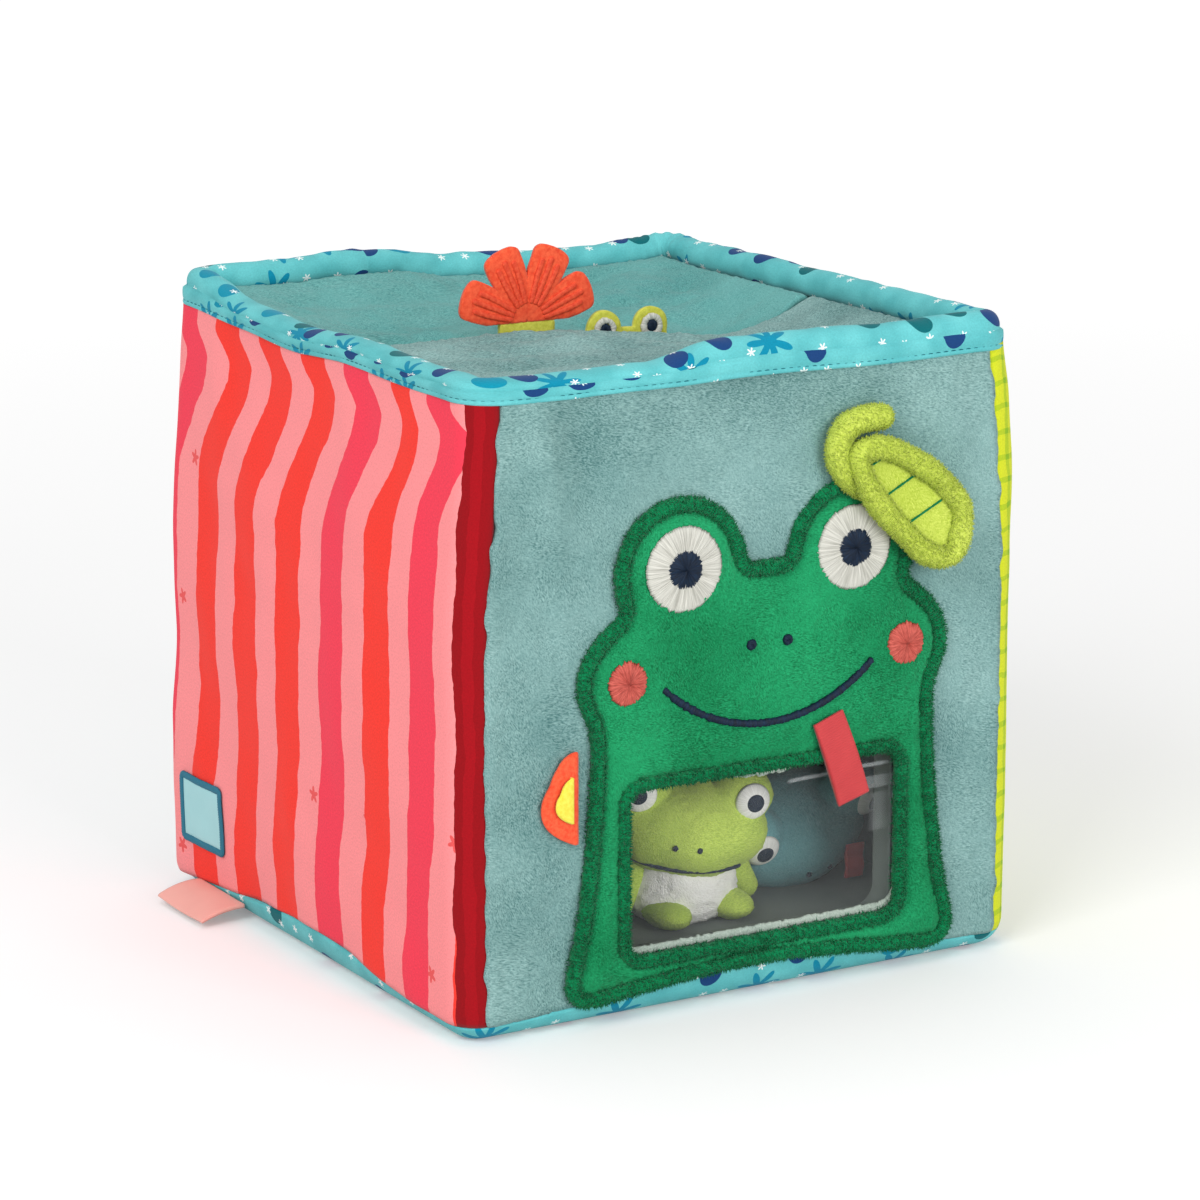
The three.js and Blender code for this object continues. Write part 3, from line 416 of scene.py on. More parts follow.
def tufts(name, roots, ways, length, radius, finish, seed, body="cube"):
    """Single locks of pile, each a thin closed spike on three corners: corner k lies at the root plus the
    radius, turned by k thirds of a circle round the lock's way; the tip lies its length along that way."""
    random = np.random.default_rng(seed)
    ways = unit(ways + 0.4 * random.normal(size=ways.shape))
    side = unit(np.cross(ways, random.normal(size=ways.shape)))
    over = np.cross(ways, side)
    turn = np.radians([0, 120, 240])[None, :, None]
    ring = roots[:, None] + radius * (np.cos(turn) * side[:, None] + np.sin(turn) * over[:, None])
    tip = roots + ways * length * random.uniform(0.6, 1.2, (len(roots), 1))
    points = np.concatenate([ring - 0.3 * radius * ways[:, None], tip[:, None]], 1)
    one = np.array([[0, 1, 3, 3], [1, 2, 3, 3], [2, 0, 3, 3], [0, 2, 1, 1]])
    faces = (one[None] + 4 * np.arange(len(roots))[:, None, None]).reshape(-1, 4)
    return piece(name, points, faces, finish, body=body)


def standing(flat, y):
    """Points of the x and z plane, stood up at y."""
    return np.column_stack([flat[:, 0], np.broadcast_to(y, len(flat)), flat[:, 1]])


# %% [markdown]
# ## Finishes
# Plush is knitted cloth with a dense pile: it has no highlights, its edges look pale where the fibres
# are seen end on, and the pile lies in short streaks that turn from place to place. A noise that is
# stretched along one direction gives the streaks, a second one crosses it, and both push the colour
# and the bump. Printed cotton is smooth and dull, and its print is drawn on the cloth map in metres.

# %% Plush and felt
finishes = {}


def new_material(name):
    """An empty material, put among the finishes under its name."""
    made = bpy.data.materials.new(name)
    made.use_nodes = True
    made.node_tree.nodes.clear()
    finishes[name] = made
    return made.node_tree


def surface(tree, colour, roughness, height=None, strength=0.5, distance=0.3 * mm, **sockets):
    """The shader and output that all finishes share. Sockets are set on the shader itself."""
    shader = node(tree, "BsdfPrincipled", {"Roughness": roughness})
    if isinstance(colour, bpy.types.NodeSocket):
        tree.links.new(colour, shader.inputs["Base Color"])
    else:
        shader.inputs["Base Color"].default_value = (*colour, 1)
    for socket, value in sockets.items():
        shader.inputs[socket.replace("_", " ")].default_value = value
    if height is not None:
        bump = node(tree, "Bump", {"Height": height, "Strength": strength, "Distance": distance})
        tree.links.new(bump.outputs[0], shader.inputs["Normal"])
    node(tree, "OutputMaterial", {"Surface": shader.outputs[0]})
    return shader


def noise(tree, vector, scale, detail=2.0, roughness=0.5):
    """A noise whose bumps are about one over scale long, from 0 to 1."""
    inputs = {"Vector": vector, "Scale": scale, "Detail": detail, "Roughness": roughness}
    return node(tree, "TexNoise", inputs).outputs["Fac"]


def spread_out(tree, value, low, high, to_low=0.0, to_high=1.0):
    """Stretches values between low and high to another range, and clamps them."""
    ends = {"Value": value, "From Min": low, "From Max": high, "To Min": to_low, "To Max": to_high}
    return node(tree, "MapRange", ends).outputs[0]


def blended(tree, fac, a, b, blend_type="MIX"):
    """Mixes two colours by a factor. A colour is three numbers or another node's output."""
    made = node(tree, "Mix", {"Factor": fac}, data_type="RGBA", blend_type=blend_type)
    for index, colour in ((6, a), (7, b)):
        if isinstance(colour, bpy.types.NodeSocket):
            tree.links.new(colour, made.inputs[index])
        else:
            made.inputs[index].default_value = (*colour, 1)
    return made.outputs[2]


def linear(red, green, blue):
    """A colour as seen on a screen, 0 to 255, turned into the shader's linear values."""
    c = np.array([red, green, blue]) / 255
    return tuple(np.where(c <= 0.04045, c / 12.92, ((c + 0.055) / 1.055) ** 2.4))


def plush(name, dark, light, fibre=0.38 * mm, streak=1.5 * mm, depth=0.5, patches=0.2, combed=None):
    """Short pile. Three layers of noise, each stretched along its own direction, take turns as two slow
    noises rise and fall, so the nap turns from place to place. Above the height combed it lies level."""
    tree = new_material(name)
    place = node(tree, "TexCoord").outputs["Object"]
    slow = node(tree, "TexNoise", {"Vector": place, "Scale": 40.0, "Detail": 2.0}).outputs["Color"]
    shift = node(tree, "VectorMath", {0: slow, 1: (5 * mm,) * 3}, operation="MULTIPLY").outputs[0]
    bent = node(tree, "VectorMath", {0: place, 1: shift}, operation="ADD").outputs[0]
    layers = []
    for way in ((0.5, 0.45, -0.75), (-0.3, 0.5, 0.8), (0.93, 0.3, -0.22)):
        turn = tuple(Vector(way).to_track_quat("Z", "Y").to_euler())
        turned = node(tree, "Mapping", {"Vector": bent, "Rotation": turn, "Scale": (fibre, fibre, streak)},
                      vector_type="TEXTURE").outputs[0]
        layers.append(noise(tree, turned, 1.0, 2.5, 0.62))
    turns = [spread_out(tree, noise(tree, place, 1 / length), 0.44, 0.58) for length in (30 * mm, 22 * mm)]
    if combed is not None:
        up = node(tree, "SeparateXYZ", {0: place}).outputs[2]
        turns[1] = calc(tree, "MAXIMUM", turns[1], spread_out(tree, up, combed - 12 * mm, combed + 8 * mm))
    pile = calc(tree, "MULTIPLY_ADD", turns[0], calc(tree, "SUBTRACT", layers[1], layers[0]), layers[0])
    pile = calc(tree, "MULTIPLY_ADD", turns[1], calc(tree, "SUBTRACT", layers[2], pile), pile)
    patch = noise(tree, place, 1 / (34 * mm), 3.0)
    patch = spread_out(tree, patch, 0.3, 0.7, -patches, patches)
    tone = calc(tree, "ADD", spread_out(tree, pile, 0.3, 0.7, 0.08, 0.92), patch, clamp=True)
    colour = blended(tree, tone, linear(*dark), linear(*light))
    surface(tree, colour, 0.95, pile, depth, 0.9 * mm, Sheen_Weight=0.12, Sheen_Roughness=0.35,
            Specular_IOR_Level=0.15)


def felt(name, dark, light):
    """Pressed fibres: a fine cloudy noise with no direction."""
    tree = new_material(name)
    place = node(tree, "TexCoord").outputs["Object"]
    cloud = noise(tree, place, 1 / (1.2 * mm), 4.0, 0.65)
    colour = blended(tree, spread_out(tree, cloud, 0.35, 0.65), linear(*dark), linear(*light))
    surface(tree, colour, 0.9, cloud, 0.35, 0.3 * mm, Sheen_Weight=0.15, Specular_IOR_Level=0.25)


plush("aqua_plush", (70, 114, 113), (155, 192, 189), streak=1.9 * mm, depth=0.55, patches=0.22,
      combed=158 * mm)
# The rear flap's plush is the same aqua cloth, made darker as painted shade for the flap that lies in shade.
plush("rear_flap_painted_shade_plush", (64, 130, 128), (124, 190, 186), streak=1.9 * mm, patches=0.18)
plush("green_plush", (0, 98, 54), (40, 172, 112), 0.38 * mm, 1.5 * mm, 0.7, 0.26)
plush("lime_plush", (158, 182, 44), (226, 238, 116), 0.35 * mm, 1.6 * mm, 0.5, 0.14)
plush("toy_lime_plush", (146, 178, 60), (216, 236, 110), 0.35 * mm, 1.5 * mm, 0.5, 0.16)
plush("white_plush", (236, 234, 228), (255, 254, 250), 0.5 * mm, 1.8 * mm, 0.7, 0.1)
plush("blue_plush", (74, 136, 142), (134, 190, 194), 0.35 * mm, 1.5 * mm, 0.6, 0.16)
felt("coral_felt", (230, 70, 40), (248, 100, 62))
felt("yellow_felt", (226, 208, 60), (240, 228, 90))
felt("lime_felt", (186, 186, 62), (212, 212, 88))

# %% [markdown]
# Thread and ribbon are smooth and shine a little along their length. Threads of an eye run out from
# its middle like spokes, so they follow the cloth map, whose first number goes round the eye. The
# ribbon has cross ribs, which are real ridges of its surface.


# %% Threads, ribbon, woven labels and lining
def cloth_place(tree):
    return node(tree, "UVMap", uv_map="cloth").outputs[0]


def thread(name, dark, light, across, along):
    """Satin stitch: thin streaks, so many to the cloth map's first number and so many to its second."""
    tree = new_material(name)
    place = node(tree, "Mapping", {"Vector": cloth_place(tree), "Scale": (across, along, 1)}).outputs[0]
    strands = noise(tree, place, 1.0, 2.0, 0.6)
    colour = blended(tree, spread_out(tree, strands, 0.35, 0.65), linear(*dark), linear(*light))
    surface(tree, colour, 0.6, strands, 0.45, 0.2 * mm, Specular_IOR_Level=0.25)


def woven(name, dark, light, pitch=0.55 * mm, roughness=0.85, slow=0.1):
    """Plain weave: two sets of fine waves on the cloth map, and a slow change of tone."""
    tree = new_material(name)
    place = cloth_place(tree)
    axes = node(tree, "SeparateXYZ", {0: place}).outputs
    sets = [calc(tree, "SINE", calc(tree, "MULTIPLY", axes[k], 2 * math.pi / pitch)) for k in (0, 1)]
    weave = calc(tree, "MULTIPLY", *sets)
    tone = spread_out(tree, noise(tree, place, 1 / (9 * mm), 3.0), 0.3, 0.7, 0.5 - slow, 0.5 + slow)
    tone = calc(tree, "ADD", tone, calc(tree, "MULTIPLY", weave, 0.18), clamp=True)
    colour = blended(tree, tone, linear(*dark), linear(*light))
    surface(tree, colour, roughness, weave, 0.3, 0.12 * mm, Sheen_Weight=0.1, Specular_IOR_Level=0.3)


def foam_material():
    """Open-celled foam: small round pits."""
    tree = new_material("foam")
    place = node(tree, "TexCoord").outputs["Object"]
    cells = node(tree, "TexVoronoi", {"Vector": place, "Scale": 1 / (1.1 * mm)}).outputs["Distance"]
    colour = blended(tree, cells, linear(206, 200, 184), linear(240, 236, 224))
    surface(tree, colour, 0.95, cells, 0.5, 0.3 * mm)


def vinyl_material():
    """Clear soft sheet: nearly all light passes. It turns a little hazy at a slant, and near its top right
    three bright strips of painted reflection lie where one slanted coordinate is between two values."""
    tree = new_material("clear_vinyl")
    facing = node(tree, "LayerWeight", {"Blend": 0.3}).outputs["Facing"]
    place = node(tree, "TexCoord").outputs["Object"]
    across, _, up = node(tree, "SeparateXYZ", {0: place}).outputs
    bend = noise(tree, place, 1 / (22 * mm), 2.0)
    level = calc(tree, "MULTIPLY_ADD", across, -0.04, calc(tree, "MULTIPLY_ADD", bend, 2.4 * mm, up))
    haze_and_painted_reflection = calc(tree, "MULTIPLY_ADD", facing, 0.06, 0.02)
    # Painted reflection: three bright strips near the top right add to the sheet's whiteness.
    for low, high, start, strength in ((60.2, 61.8, 14, 0.2), (53.6, 57.6, 30, 0.1), (41, 52.6, 42, 0.05)):
        strip = calc(tree, "MULTIPLY", spread_out(tree, level, low * mm, (low + 0.5) * mm),
                     spread_out(tree, level, (high - 0.5) * mm, high * mm, 1.0, 0.0))
        strip = calc(tree, "MULTIPLY", strip, spread_out(tree, across, start * mm, (start + 2) * mm))
        haze_and_painted_reflection = calc(tree, "MULTIPLY_ADD", strip, strength, haze_and_painted_reflection)
    shader = surface(tree, linear(214, 220, 222), 0.2, Specular_IOR_Level=0.3)
    tree.links.new(haze_and_painted_reflection, shader.inputs["Alpha"])


thread("white_stitching", (172, 171, 162), (216, 215, 206), 170, 1.2)
thread("toy_white_stitching", (226, 225, 218), (250, 249, 244), 90, 1.2)
thread("navy_stitching", (0, 14, 32), (4, 32, 58), 60, 3)
thread("coral_stitching", (164, 66, 56), (208, 100, 88), 60, 3)
plush("dark_green_stitching", (0, 88, 48), (16, 150, 94), 0.4 * mm, 0.9 * mm, 0.8, 0.1)
woven("coral_ribbon", (176, 44, 50), (208, 68, 70), 0.5 * mm, 0.6, 0.15)
woven("woven_label", (236, 164, 152), (250, 190, 178), 0.5 * mm, 0.7, 0.1)
woven("woven_field", (150, 206, 212), (176, 226, 228), 0.5 * mm, 0.7, 0.1)
thread("teal_woven_rim", (28, 96, 122), (52, 128, 150), 400, 400)
# The lining is grey cloth, darkened further as painted shade for the inside of the box.
woven("grey_lining", (88, 98, 96), (122, 130, 126), 0.7 * mm, 0.85, 0.12)
plush("seam_tape", (136, 152, 140), (196, 208, 198), 0.35 * mm, 0.8 * mm, 0.6, 0.15)
thread("groove_stitching", (0, 84, 96), (16, 118, 128), 90, 6)
thread("petal_stitching", (218, 62, 36), (240, 90, 56), 60, 3)
foam_material()
vinyl_material()

# %% [markdown]
# The prints. The binding and the base have a turquoise ground with scattered motifs: round pebbles in
# navy and teal, leafy rosettes, and small white flowers. Each layer of motifs is a cellular noise: a
# cell gives its middle and a random number, and the shape is a circle whose radius changes with the
# angle round that middle. The striped side is drawn as bands whose edges waver and sway to one side
# near the top, and the other side as a check of two sets of soft bars.


# %% Prints
def motifs(tree, place, pitch, radius, lobes, cut, keep, shift):
    """Scattered shapes: about one to each pitch, a circle with so many lobes, cut in by a share of its
    radius. Keep is the share of places that hold one. Gives the mask and the place's random number."""
    moved = node(tree, "Mapping", {"Vector": place, "Location": (shift, shift * 0.7, 0),
                                   "Scale": (1 / pitch, 1 / pitch, 1)}).outputs[0]
    cells = node(tree, "TexVoronoi", {"Vector": moved, "Scale": 1.0, "Randomness": 0.55},
                 voronoi_dimensions="2D")
    away = node(tree, "VectorMath", {0: moved, 1: cells.outputs["Position"]}, operation="SUBTRACT").outputs[0]
    axes = node(tree, "SeparateXYZ", {0: away}).outputs
    random = node(tree, "SeparateColor", {0: cells.outputs["Color"]}).outputs
    angle = calc(tree, "ARCTAN2", axes[1], axes[0])
    turned = calc(tree, "MULTIPLY_ADD", random[2], 6.0, angle)
    lobe = calc(tree, "COSINE", calc(tree, "MULTIPLY", turned, float(lobes)))
    edge = calc(tree, "MULTIPLY_ADD", lobe, radius / pitch * cut, radius / pitch * (1 - cut))
    inside = calc(tree, "LESS_THAN", cells.outputs["Distance"], edge)
    shown = calc(tree, "LESS_THAN", random[1], keep)
    return calc(tree, "MULTIPLY", inside, shown), random[0]


def cotton(tree, colour, place, crease=0.35):
    """Printed cotton: fine grain in the colour and in the bump."""
    grain = noise(tree, place, 1 / (0.6 * mm), 2.0, 0.7)
    tint = spread_out(tree, grain, 0.3, 0.7, 0.9, 1.08)
    shade = node(tree, "CombineColor", {0: tint, 1: tint, 2: tint}).outputs[0]
    colour = blended(tree, 1.0, colour, shade, "MULTIPLY")
    surface(tree, colour, 0.85, grain, crease, 0.2 * mm, Sheen_Weight=0.08, Specular_IOR_Level=0.15)


def pond_print():
    """Turquoise ground with rosettes, pebbles and small white flowers."""
    tree = new_material("printed_cotton")
    place = cloth_place(tree)
    colour = blended(tree, spread_out(tree, noise(tree, place, 1 / (12 * mm)), 0.35, 0.65),
                     linear(88, 178, 182), linear(106, 196, 199))
    rosette, _ = motifs(tree, place, 22 * mm, 7.4 * mm, 7, 0.34, 0.6, 3.0)
    colour = blended(tree, rosette, colour, linear(0, 134, 164))
    pebble, pick = motifs(tree, place, 15 * mm, 4.1 * mm, 2, 0.07, 0.62, 11.0)
    tone = node(tree, "ValToRGB", {0: pick})
    tone.color_ramp.interpolation = "CONSTANT"
    for stop, shade in ((0.0, (20, 62, 116)), (0.4, (0, 138, 164)), (0.72, (0, 100, 106))):
        element = tone.color_ramp.elements[0] if stop == 0 else tone.color_ramp.elements.new(stop)
        element.position = stop
        element.color = (*linear(*shade), 1)
    tone.color_ramp.elements.remove(tone.color_ramp.elements[-1])
    colour = blended(tree, pebble, colour, tone.outputs[0])
    fleck, _ = motifs(tree, place, 9 * mm, 1.5 * mm, 6, 0.35, 0.5, 23.0)
    colour = blended(tree, fleck, colour, linear(226, 238, 236))
    cotton(tree, colour, place)


stripe_pitch = 27.4 * mm
stripe_width = 14.2 * mm
stripe_middle = 7.5 * mm


def striped_print():
    """Upright bands. Near the foot they sit further back, and towards the rim they sway forward by 16 mm
    and a little back again: each move is a smooth step over a range of heights."""
    tree = new_material("striped_cotton")
    place = cloth_place(tree)
    u, v, _ = node(tree, "SeparateXYZ", {0: place}).outputs

    def moved(low, high, much):
        ends = {"Value": v, "From Min": low, "From Max": high, "To Max": much}
        return node(tree, "MapRange", ends, interpolation_type="SMOOTHSTEP").outputs[0]

    away = calc(tree, "MULTIPLY", calc(tree, "SUBTRACT", u, 20 * mm), 1 / (70 * mm))
    start = calc(tree, "MULTIPLY_ADD", calc(tree, "MULTIPLY", away, away), 7 * mm, 128 * mm)
    up = moved(start, 168 * mm, spread_out(tree, u, -78 * mm, -52 * mm, 11 * mm, 16 * mm))
    back = moved(168 * mm, 178 * mm, 9 * mm)
    foot = moved(68 * mm, 20 * mm, 5.5 * mm)
    waver = node(tree, "Mapping", {"Vector": place, "Scale": (1 / (20 * mm), 1 / (26 * mm), 1)}).outputs[0]
    waver = spread_out(tree, noise(tree, waver, 1.0, 4.0, 0.6), 0.25, 0.75, -1.5 * mm, 1.5 * mm)
    inner = spread_out(tree, u, -68 * mm, -55 * mm, 2.8 * mm, 0.0)
    edge = calc(tree, "ADD", u, waver)
    for sign, moves in (("ADD", (up,)), ("SUBTRACT", (back, foot, inner)), ("ADD", (waver,))):
        for move in moves:
            u = calc(tree, sign, u, move)
    count = calc(tree, "DIVIDE", calc(tree, "SUBTRACT", u, stripe_middle - stripe_pitch / 2), stripe_pitch)
    within = calc(tree, "ABSOLUTE", calc(tree, "SUBTRACT", calc(tree, "FRACT", count), 0.5))
    stripe = calc(tree, "LESS_THAN", within, stripe_width / stripe_pitch / 2)
    index = calc(tree, "FLOOR", count)
    outer = calc(tree, "COMPARE", calc(tree, "ABSOLUTE", index), 3.0, 0.5)
    rosy = calc(tree, "MAXIMUM", outer, calc(tree, "COMPARE", index, -1.0, 0.5))
    band = blended(tree, rosy, linear(246, 58, 46), linear(242, 62, 84))
    star, _ = motifs(tree, place, 40 * mm, 2.6 * mm, 5, 0.28, 0.35, 5.3)
    ground = blended(tree, star, linear(251, 146, 148), linear(234, 88, 88))
    colour = blended(tree, stripe, ground, band)
    # The front corner band is partly print and partly painted shade: a red band of the print, darkened where
    # the corner turns away from the light, with a slightly lighter strip along its middle.
    corner_band_and_painted_shade = calc(tree, "LESS_THAN", edge, -87.6 * mm)
    middle = calc(tree, "LESS_THAN", calc(tree, "ABSOLUTE", calc(tree, "ADD", edge, 92 * mm)), 1.6 * mm)
    colour = blended(tree, corner_band_and_painted_shade, colour, blended(tree, middle, linear(144, 4, 16), linear(158, 6, 20)))
    cotton(tree, colour, place)


def checked_print():
    """Two crossed sets of soft-edged bars in yellow and lime."""
    tree = new_material("checked_cotton")
    place = cloth_place(tree)
    waver = spread_out(tree, noise(tree, place, 1 / (8 * mm), 3.0), 0.3, 0.7, -0.09, 0.09)
    axes = node(tree, "SeparateXYZ", {0: place}).outputs
    bars = []
    for k, pitch in ((0, 8 * mm), (1, 7.2 * mm)):
        phase = calc(tree, "ADD", calc(tree, "FRACT", calc(tree, "DIVIDE", axes[k], pitch)), waver)
        bars.append(calc(tree, "LESS_THAN", calc(tree, "ABSOLUTE", calc(tree, "SUBTRACT", phase, 0.5)), 0.11))
    tone = calc(tree, "MULTIPLY", calc(tree, "ADD", *bars), 0.5)
    colour = blended(tree, tone, linear(206, 214, 40), linear(136, 178, 30))
    cotton(tree, colour, place)


pond_print()
striped_print()
checked_print()
print("finishes:", len(finishes))

# %% [markdown]
# ## Walls
# A wall is a foam board in a cloth cover. Seen from above the side covers run round both upright
# corners to seams on the front and back, so a side is a line with quarter circles at its ends, and the
# front and back are straight. Each cover is that line, taken up through the height: it is tucked in at
# the bottom edge, swells in the middle, and leans in under the rim. Soft folds and the dip at each seam
# are added to how far a point lies inside the plain wall.


# %% Wall shape
def lean(z):
    """Share of the width at a height: 1 low down, and the rim's share at the top."""
    return 1 - (1 - rim_width / width) * smooth((z - lean_start) / (cover_top - lean_start))


def tuck(z):
    """How far the bottom edge is rounded in: a quarter circle."""
    under = np.clip(base_radius - z, 0, base_radius)
    return base_radius - np.sqrt(base_radius ** 2 - under ** 2)


def arch(t, half):
    return np.where(np.abs(t) < half, np.cos(np.pi * t / (2 * half)) ** 2, 0)


def base_edge(x, y):
    """Height at which the base fabric ends: low at the corners, higher in the middle of each face."""
    return base_edge_low + base_edge_arch * (arch(x, seam_x) + arch(y, seam_y))


def side_line(sign, step):
    """A side cover's line: its length from the middle, points and inward directions."""
    half = seam_y + corner * math.pi / 2
    s = np.linspace(-half, half, int(2 * half / step))
    angle = np.clip((np.abs(s) - seam_y) / corner, 0, math.pi / 2)
    inward = np.column_stack([-sign * np.cos(angle), -np.sign(s) * np.sin(angle)])
    bend = np.column_stack([np.full(len(s), sign * seam_x), np.clip(s, -seam_y, seam_y)])
    return s, bend - corner * inward, inward, 1 - np.clip(s / seam_y, -1, 1) ** 2, half - np.abs(s)


def end_line(sign, step):
    """The front or back cover's line."""
    half = seam_x - gap
    s = np.linspace(-half, half, int(2 * half / step))
    points = np.column_stack([s, np.full(len(s), sign * half_y)])
    inward = np.column_stack([np.zeros(len(s)), np.full(len(s), -sign)])
    return s, points, inward, (1 - (s / seam_x) ** 2) * (sign > 0), half - np.abs(s)


def wall_points(line, levels, low, folds, seam_dip=1.3 * mm, seam_reach=3 * mm, offset=0.0, top=cover_top):
    """Grid over the line and the height shares. A point lies inside the plain wall by the offset, the
    tuck and the dip at the seams, and outside it by the crown and the folds."""
    s, xy, inward, swell, from_seam = line
    start = low(xy[:, 0], xy[:, 1])
    z = start[:, None] + (top - start[:, None]) * levels
    rise = np.clip((z - base_edge_low) / (cover_top - base_edge_low), 0, 1)
    dip = seam_dip * (1 - np.minimum(from_seam / seam_reach, 1))[:, None] ** 2
    push = offset + tuck(z) + dip - crown * swell[:, None] * 4 * rise * (1 - rise)
    push = push - folds(s[:, None], z) * smooth(from_seam / (14 * mm))[:, None]
    x = (xy[:, :1] + inward[:, :1] * push) * lean(z)
    y = xy[:, 1:] + inward[:, 1:] * push
    z = z + rim_rise(x, y) * smooth((z - 150 * mm) / (31 * mm))
    return np.stack([x, y, z], -1), grid_of(s[:, None], z)


def at_base_edge(x, y):
    return base_edge(x, y) + gap


# %% Rim line
rear_x = np.array([-88, -72, -52, -40, -16, -2, 16, 32, 56, 72, 88]) * mm
rear_rise = np.array([3.0, 2.6, 2.0, 3.1, 2.8, 0, -1.0, -1.9, -1.7, -0.6, 1.4]) * mm


def rim_rise(x, y):
    """How far the soft rim stands above its level or sinks below it: a line over x at the back, which
    fades towards the front, sooner at the right side."""
    reach = (30 + 60 * smooth((30 - x / mm) / 60)) * mm
    return np.interp(x, rear_x, rear_rise) * smooth((y - half_y + reach) / reach)


# %% Folds of the four covers
fold_fade = 22 * mm


def cover_folds(seed, long_folds, amount=0.7 * mm):
    """Soft unevenness, with folds that run down from the rim: each is a place along the wall, a slant,
    a width, a depth, the height at which it has faded and the height at which it is whole, which is the
    rim when none is given. All but the slant are in millimetres."""
    def folds(s, z):
        flat = grid_of(s, z)
        out = amount * waves(flat, 70 * mm, seed) + 0.35 * amount * waves(flat, 24 * mm, seed + 1)
        out = out * (1 - 0.7 * smooth((np.abs(s) - 66 * mm) / (16 * mm)))
        for at, slant, wide, deep, end, *whole in long_folds:
            at, wide, deep, end = at * mm, wide * mm, deep * mm, end * mm
            whole = whole[0] * mm if whole else cover_top
            across = (s - at - slant * (cover_top - z)) / wide
            out = out + deep * np.exp(-across ** 2) * smooth((z - end) / (whole - end))
        return out * smooth((cover_top - z) / fold_fade + 0.25)
    return folds


front_folds = [(-73, 0.2, 6, 2.6, 96), (-61, 0.34, 7, -2.0, 112), (38, -0.12, 7, 1.8, 128),
               (66, 0.2, 8, 1.6, 116), (-6, 0.1, 12, -0.8, 140)]
left_folds = [(66, -0.25, 10, 1.6, 110), (30, -0.2, 9, -1.1, 120), (-20, -0.15, 10, 1.0, 120),
              (-64, 0.1, 9, 1.0, 130), (88, 0.0, 15, 0.9, -200), (88, 0.0, 16, 2.0, 82, 54)]
right_folds = [(-50, 0.1, 10, 1.1, 110), (-88, 0.0, 15, 2.3, 118, 150)]
back_folds = [(-50, 0.1, 10, 1.1, 110), (40, -0.1, 9, 1.0, 120)]
cover_step = 1.4 * mm
levels = np.linspace(0, 1, 128)

# %% Side and back covers
for name, sign, finish, folds in (("left_cover", -1, "striped_cotton", cover_folds(3, left_folds)),
                                  ("right_cover", 1, "checked_cotton", cover_folds(7, right_folds))):
    points, cloth = wall_points(side_line(sign, cover_step), levels, at_base_edge, folds)
    made = grid_piece(name + "_cloth", points, finish, [name], cloth_map=cloth, thickness=cover_thickness)
    as_sheet(made)


def nap(points, seed, amount=0.15 * mm):
    """Uneven ends of the pile: a fixed random push for each point."""
    return np.random.default_rng(seed).normal(size=points.shape[:-1]) * amount


points, cloth = wall_points(end_line(1, cover_step), levels, at_base_edge, cover_folds(11, back_folds))
points[..., 1] += nap(points, 21)
made = grid_piece("back_cover_plush", points, "aqua_plush", ["back_cover"], cloth_map=cloth,
                  thickness=cover_thickness)
as_sheet(made)

# %% [markdown]
# ## Front panel and window opening
# The front cover is the same kind of wall with an opening cut out of it. Faces inside the opening are
# left out, and the corners at its edge move onto the rounded rectangle of the window.

# %% Window outline
window_x, window_z = 4 * mm, 42.5 * mm
window_w, window_h, window_r = 92 * mm, 51 * mm, 6 * mm


def window_outline(margin, step=1 * mm):
    """A rounded rectangle in the x and z plane, grown by a margin."""
    w, h, r = window_w / 2 + margin, window_h / 2 + margin, window_r + margin
    return even(rounded_rectangle(window_x, window_z, w, h, r, -90, 12), step, closed=True)


# %% Front cover
lap = 2.2 * mm


def front_surface(x, z, seed=5):
    """The y of the front cover: the plain wall, less the folds, plus the tuck, and a little forward where
    its edge laps over the side covers."""
    edge = seam_x + lap - np.abs(x)
    over = 0.4 * mm * smooth((np.abs(x) - 78 * mm) / (5 * mm))
    over = over - 0.35 * mm * (1 - np.clip(edge / mm, 0, 1)) ** 2
    calm = smooth(nearest(window_outline(12 * mm, 4 * mm), np.stack([x, z], -1))[0] / (16 * mm))
    folds = cover_folds(seed, front_folds)(x, z) * smooth(edge / (12 * mm)) * (0.25 + 0.75 * calm)
    return -half_y + tuck(z) - over - folds


rise = np.linspace(base_edge_low, cover_top, 130)
ragged = seam_x + lap + 0.5 * mm * waves(np.stack([rise, 0 * rise], -1), 12 * mm, 33)
ragged = ragged + nap(rise[:, None], 34, 0.1 * mm) - 2.1 * mm * smooth((rise - 169 * mm) / (8 * mm))
drawn_in = ragged - 1.6 * mm * np.exp(-((rise - 142 * mm) / (22 * mm)) ** 2)
panel = np.vstack([np.column_stack([ragged, rise]), np.column_stack([-drawn_in, rise])[::-1]])
flat, deep, faces = cut_sheet(even(panel, 1.4 * mm, closed=True), 1.4 * mm, [window_outline(0.3 * mm)])
lift = at_base_edge(flat[:, 0], np.full(len(flat), -half_y)) - base_edge_low
z = flat[:, 1] + lift * (1 - smooth((flat[:, 1] - base_edge_low) / (10.5 * mm)))
y = front_surface(flat[:, 0], z) + nap(flat, 31)
points = np.column_stack([flat[:, 0] * lean(z), y, z])
made = piece("front_cover_plush", points, faces, "aqua_plush", ["front_cover"], cloth_map=flat,
             thickness=cover_thickness)
as_sheet(made)
print("front cover points:", len(points))

# %% [markdown]
# ## Base
# The base is a tray of the printed cotton: flat underneath, rounded at its edge, and ending where the
# wall covers begin. Loops like the cube's outline shrink towards the middle below and climb the edge
# outside. The cloth map unrolls the edge, so the print runs on from the bottom.


# %% Base cover
def rounded_loop(hx, hy, radius, count):
    """A rounded rectangle seen from above: points and inward directions, evenly spaced."""
    line = rounded_rectangle(0, 0, hx, hy, radius, 0, 14)
    line = even(line, lengths_along(line, True)[-1] / count, closed=True)
    middle = np.column_stack([np.clip(line[:, 0], radius - hx, hx - radius),
                              np.clip(line[:, 1], radius - hy, hy - radius)])
    return line, unit(middle - line)


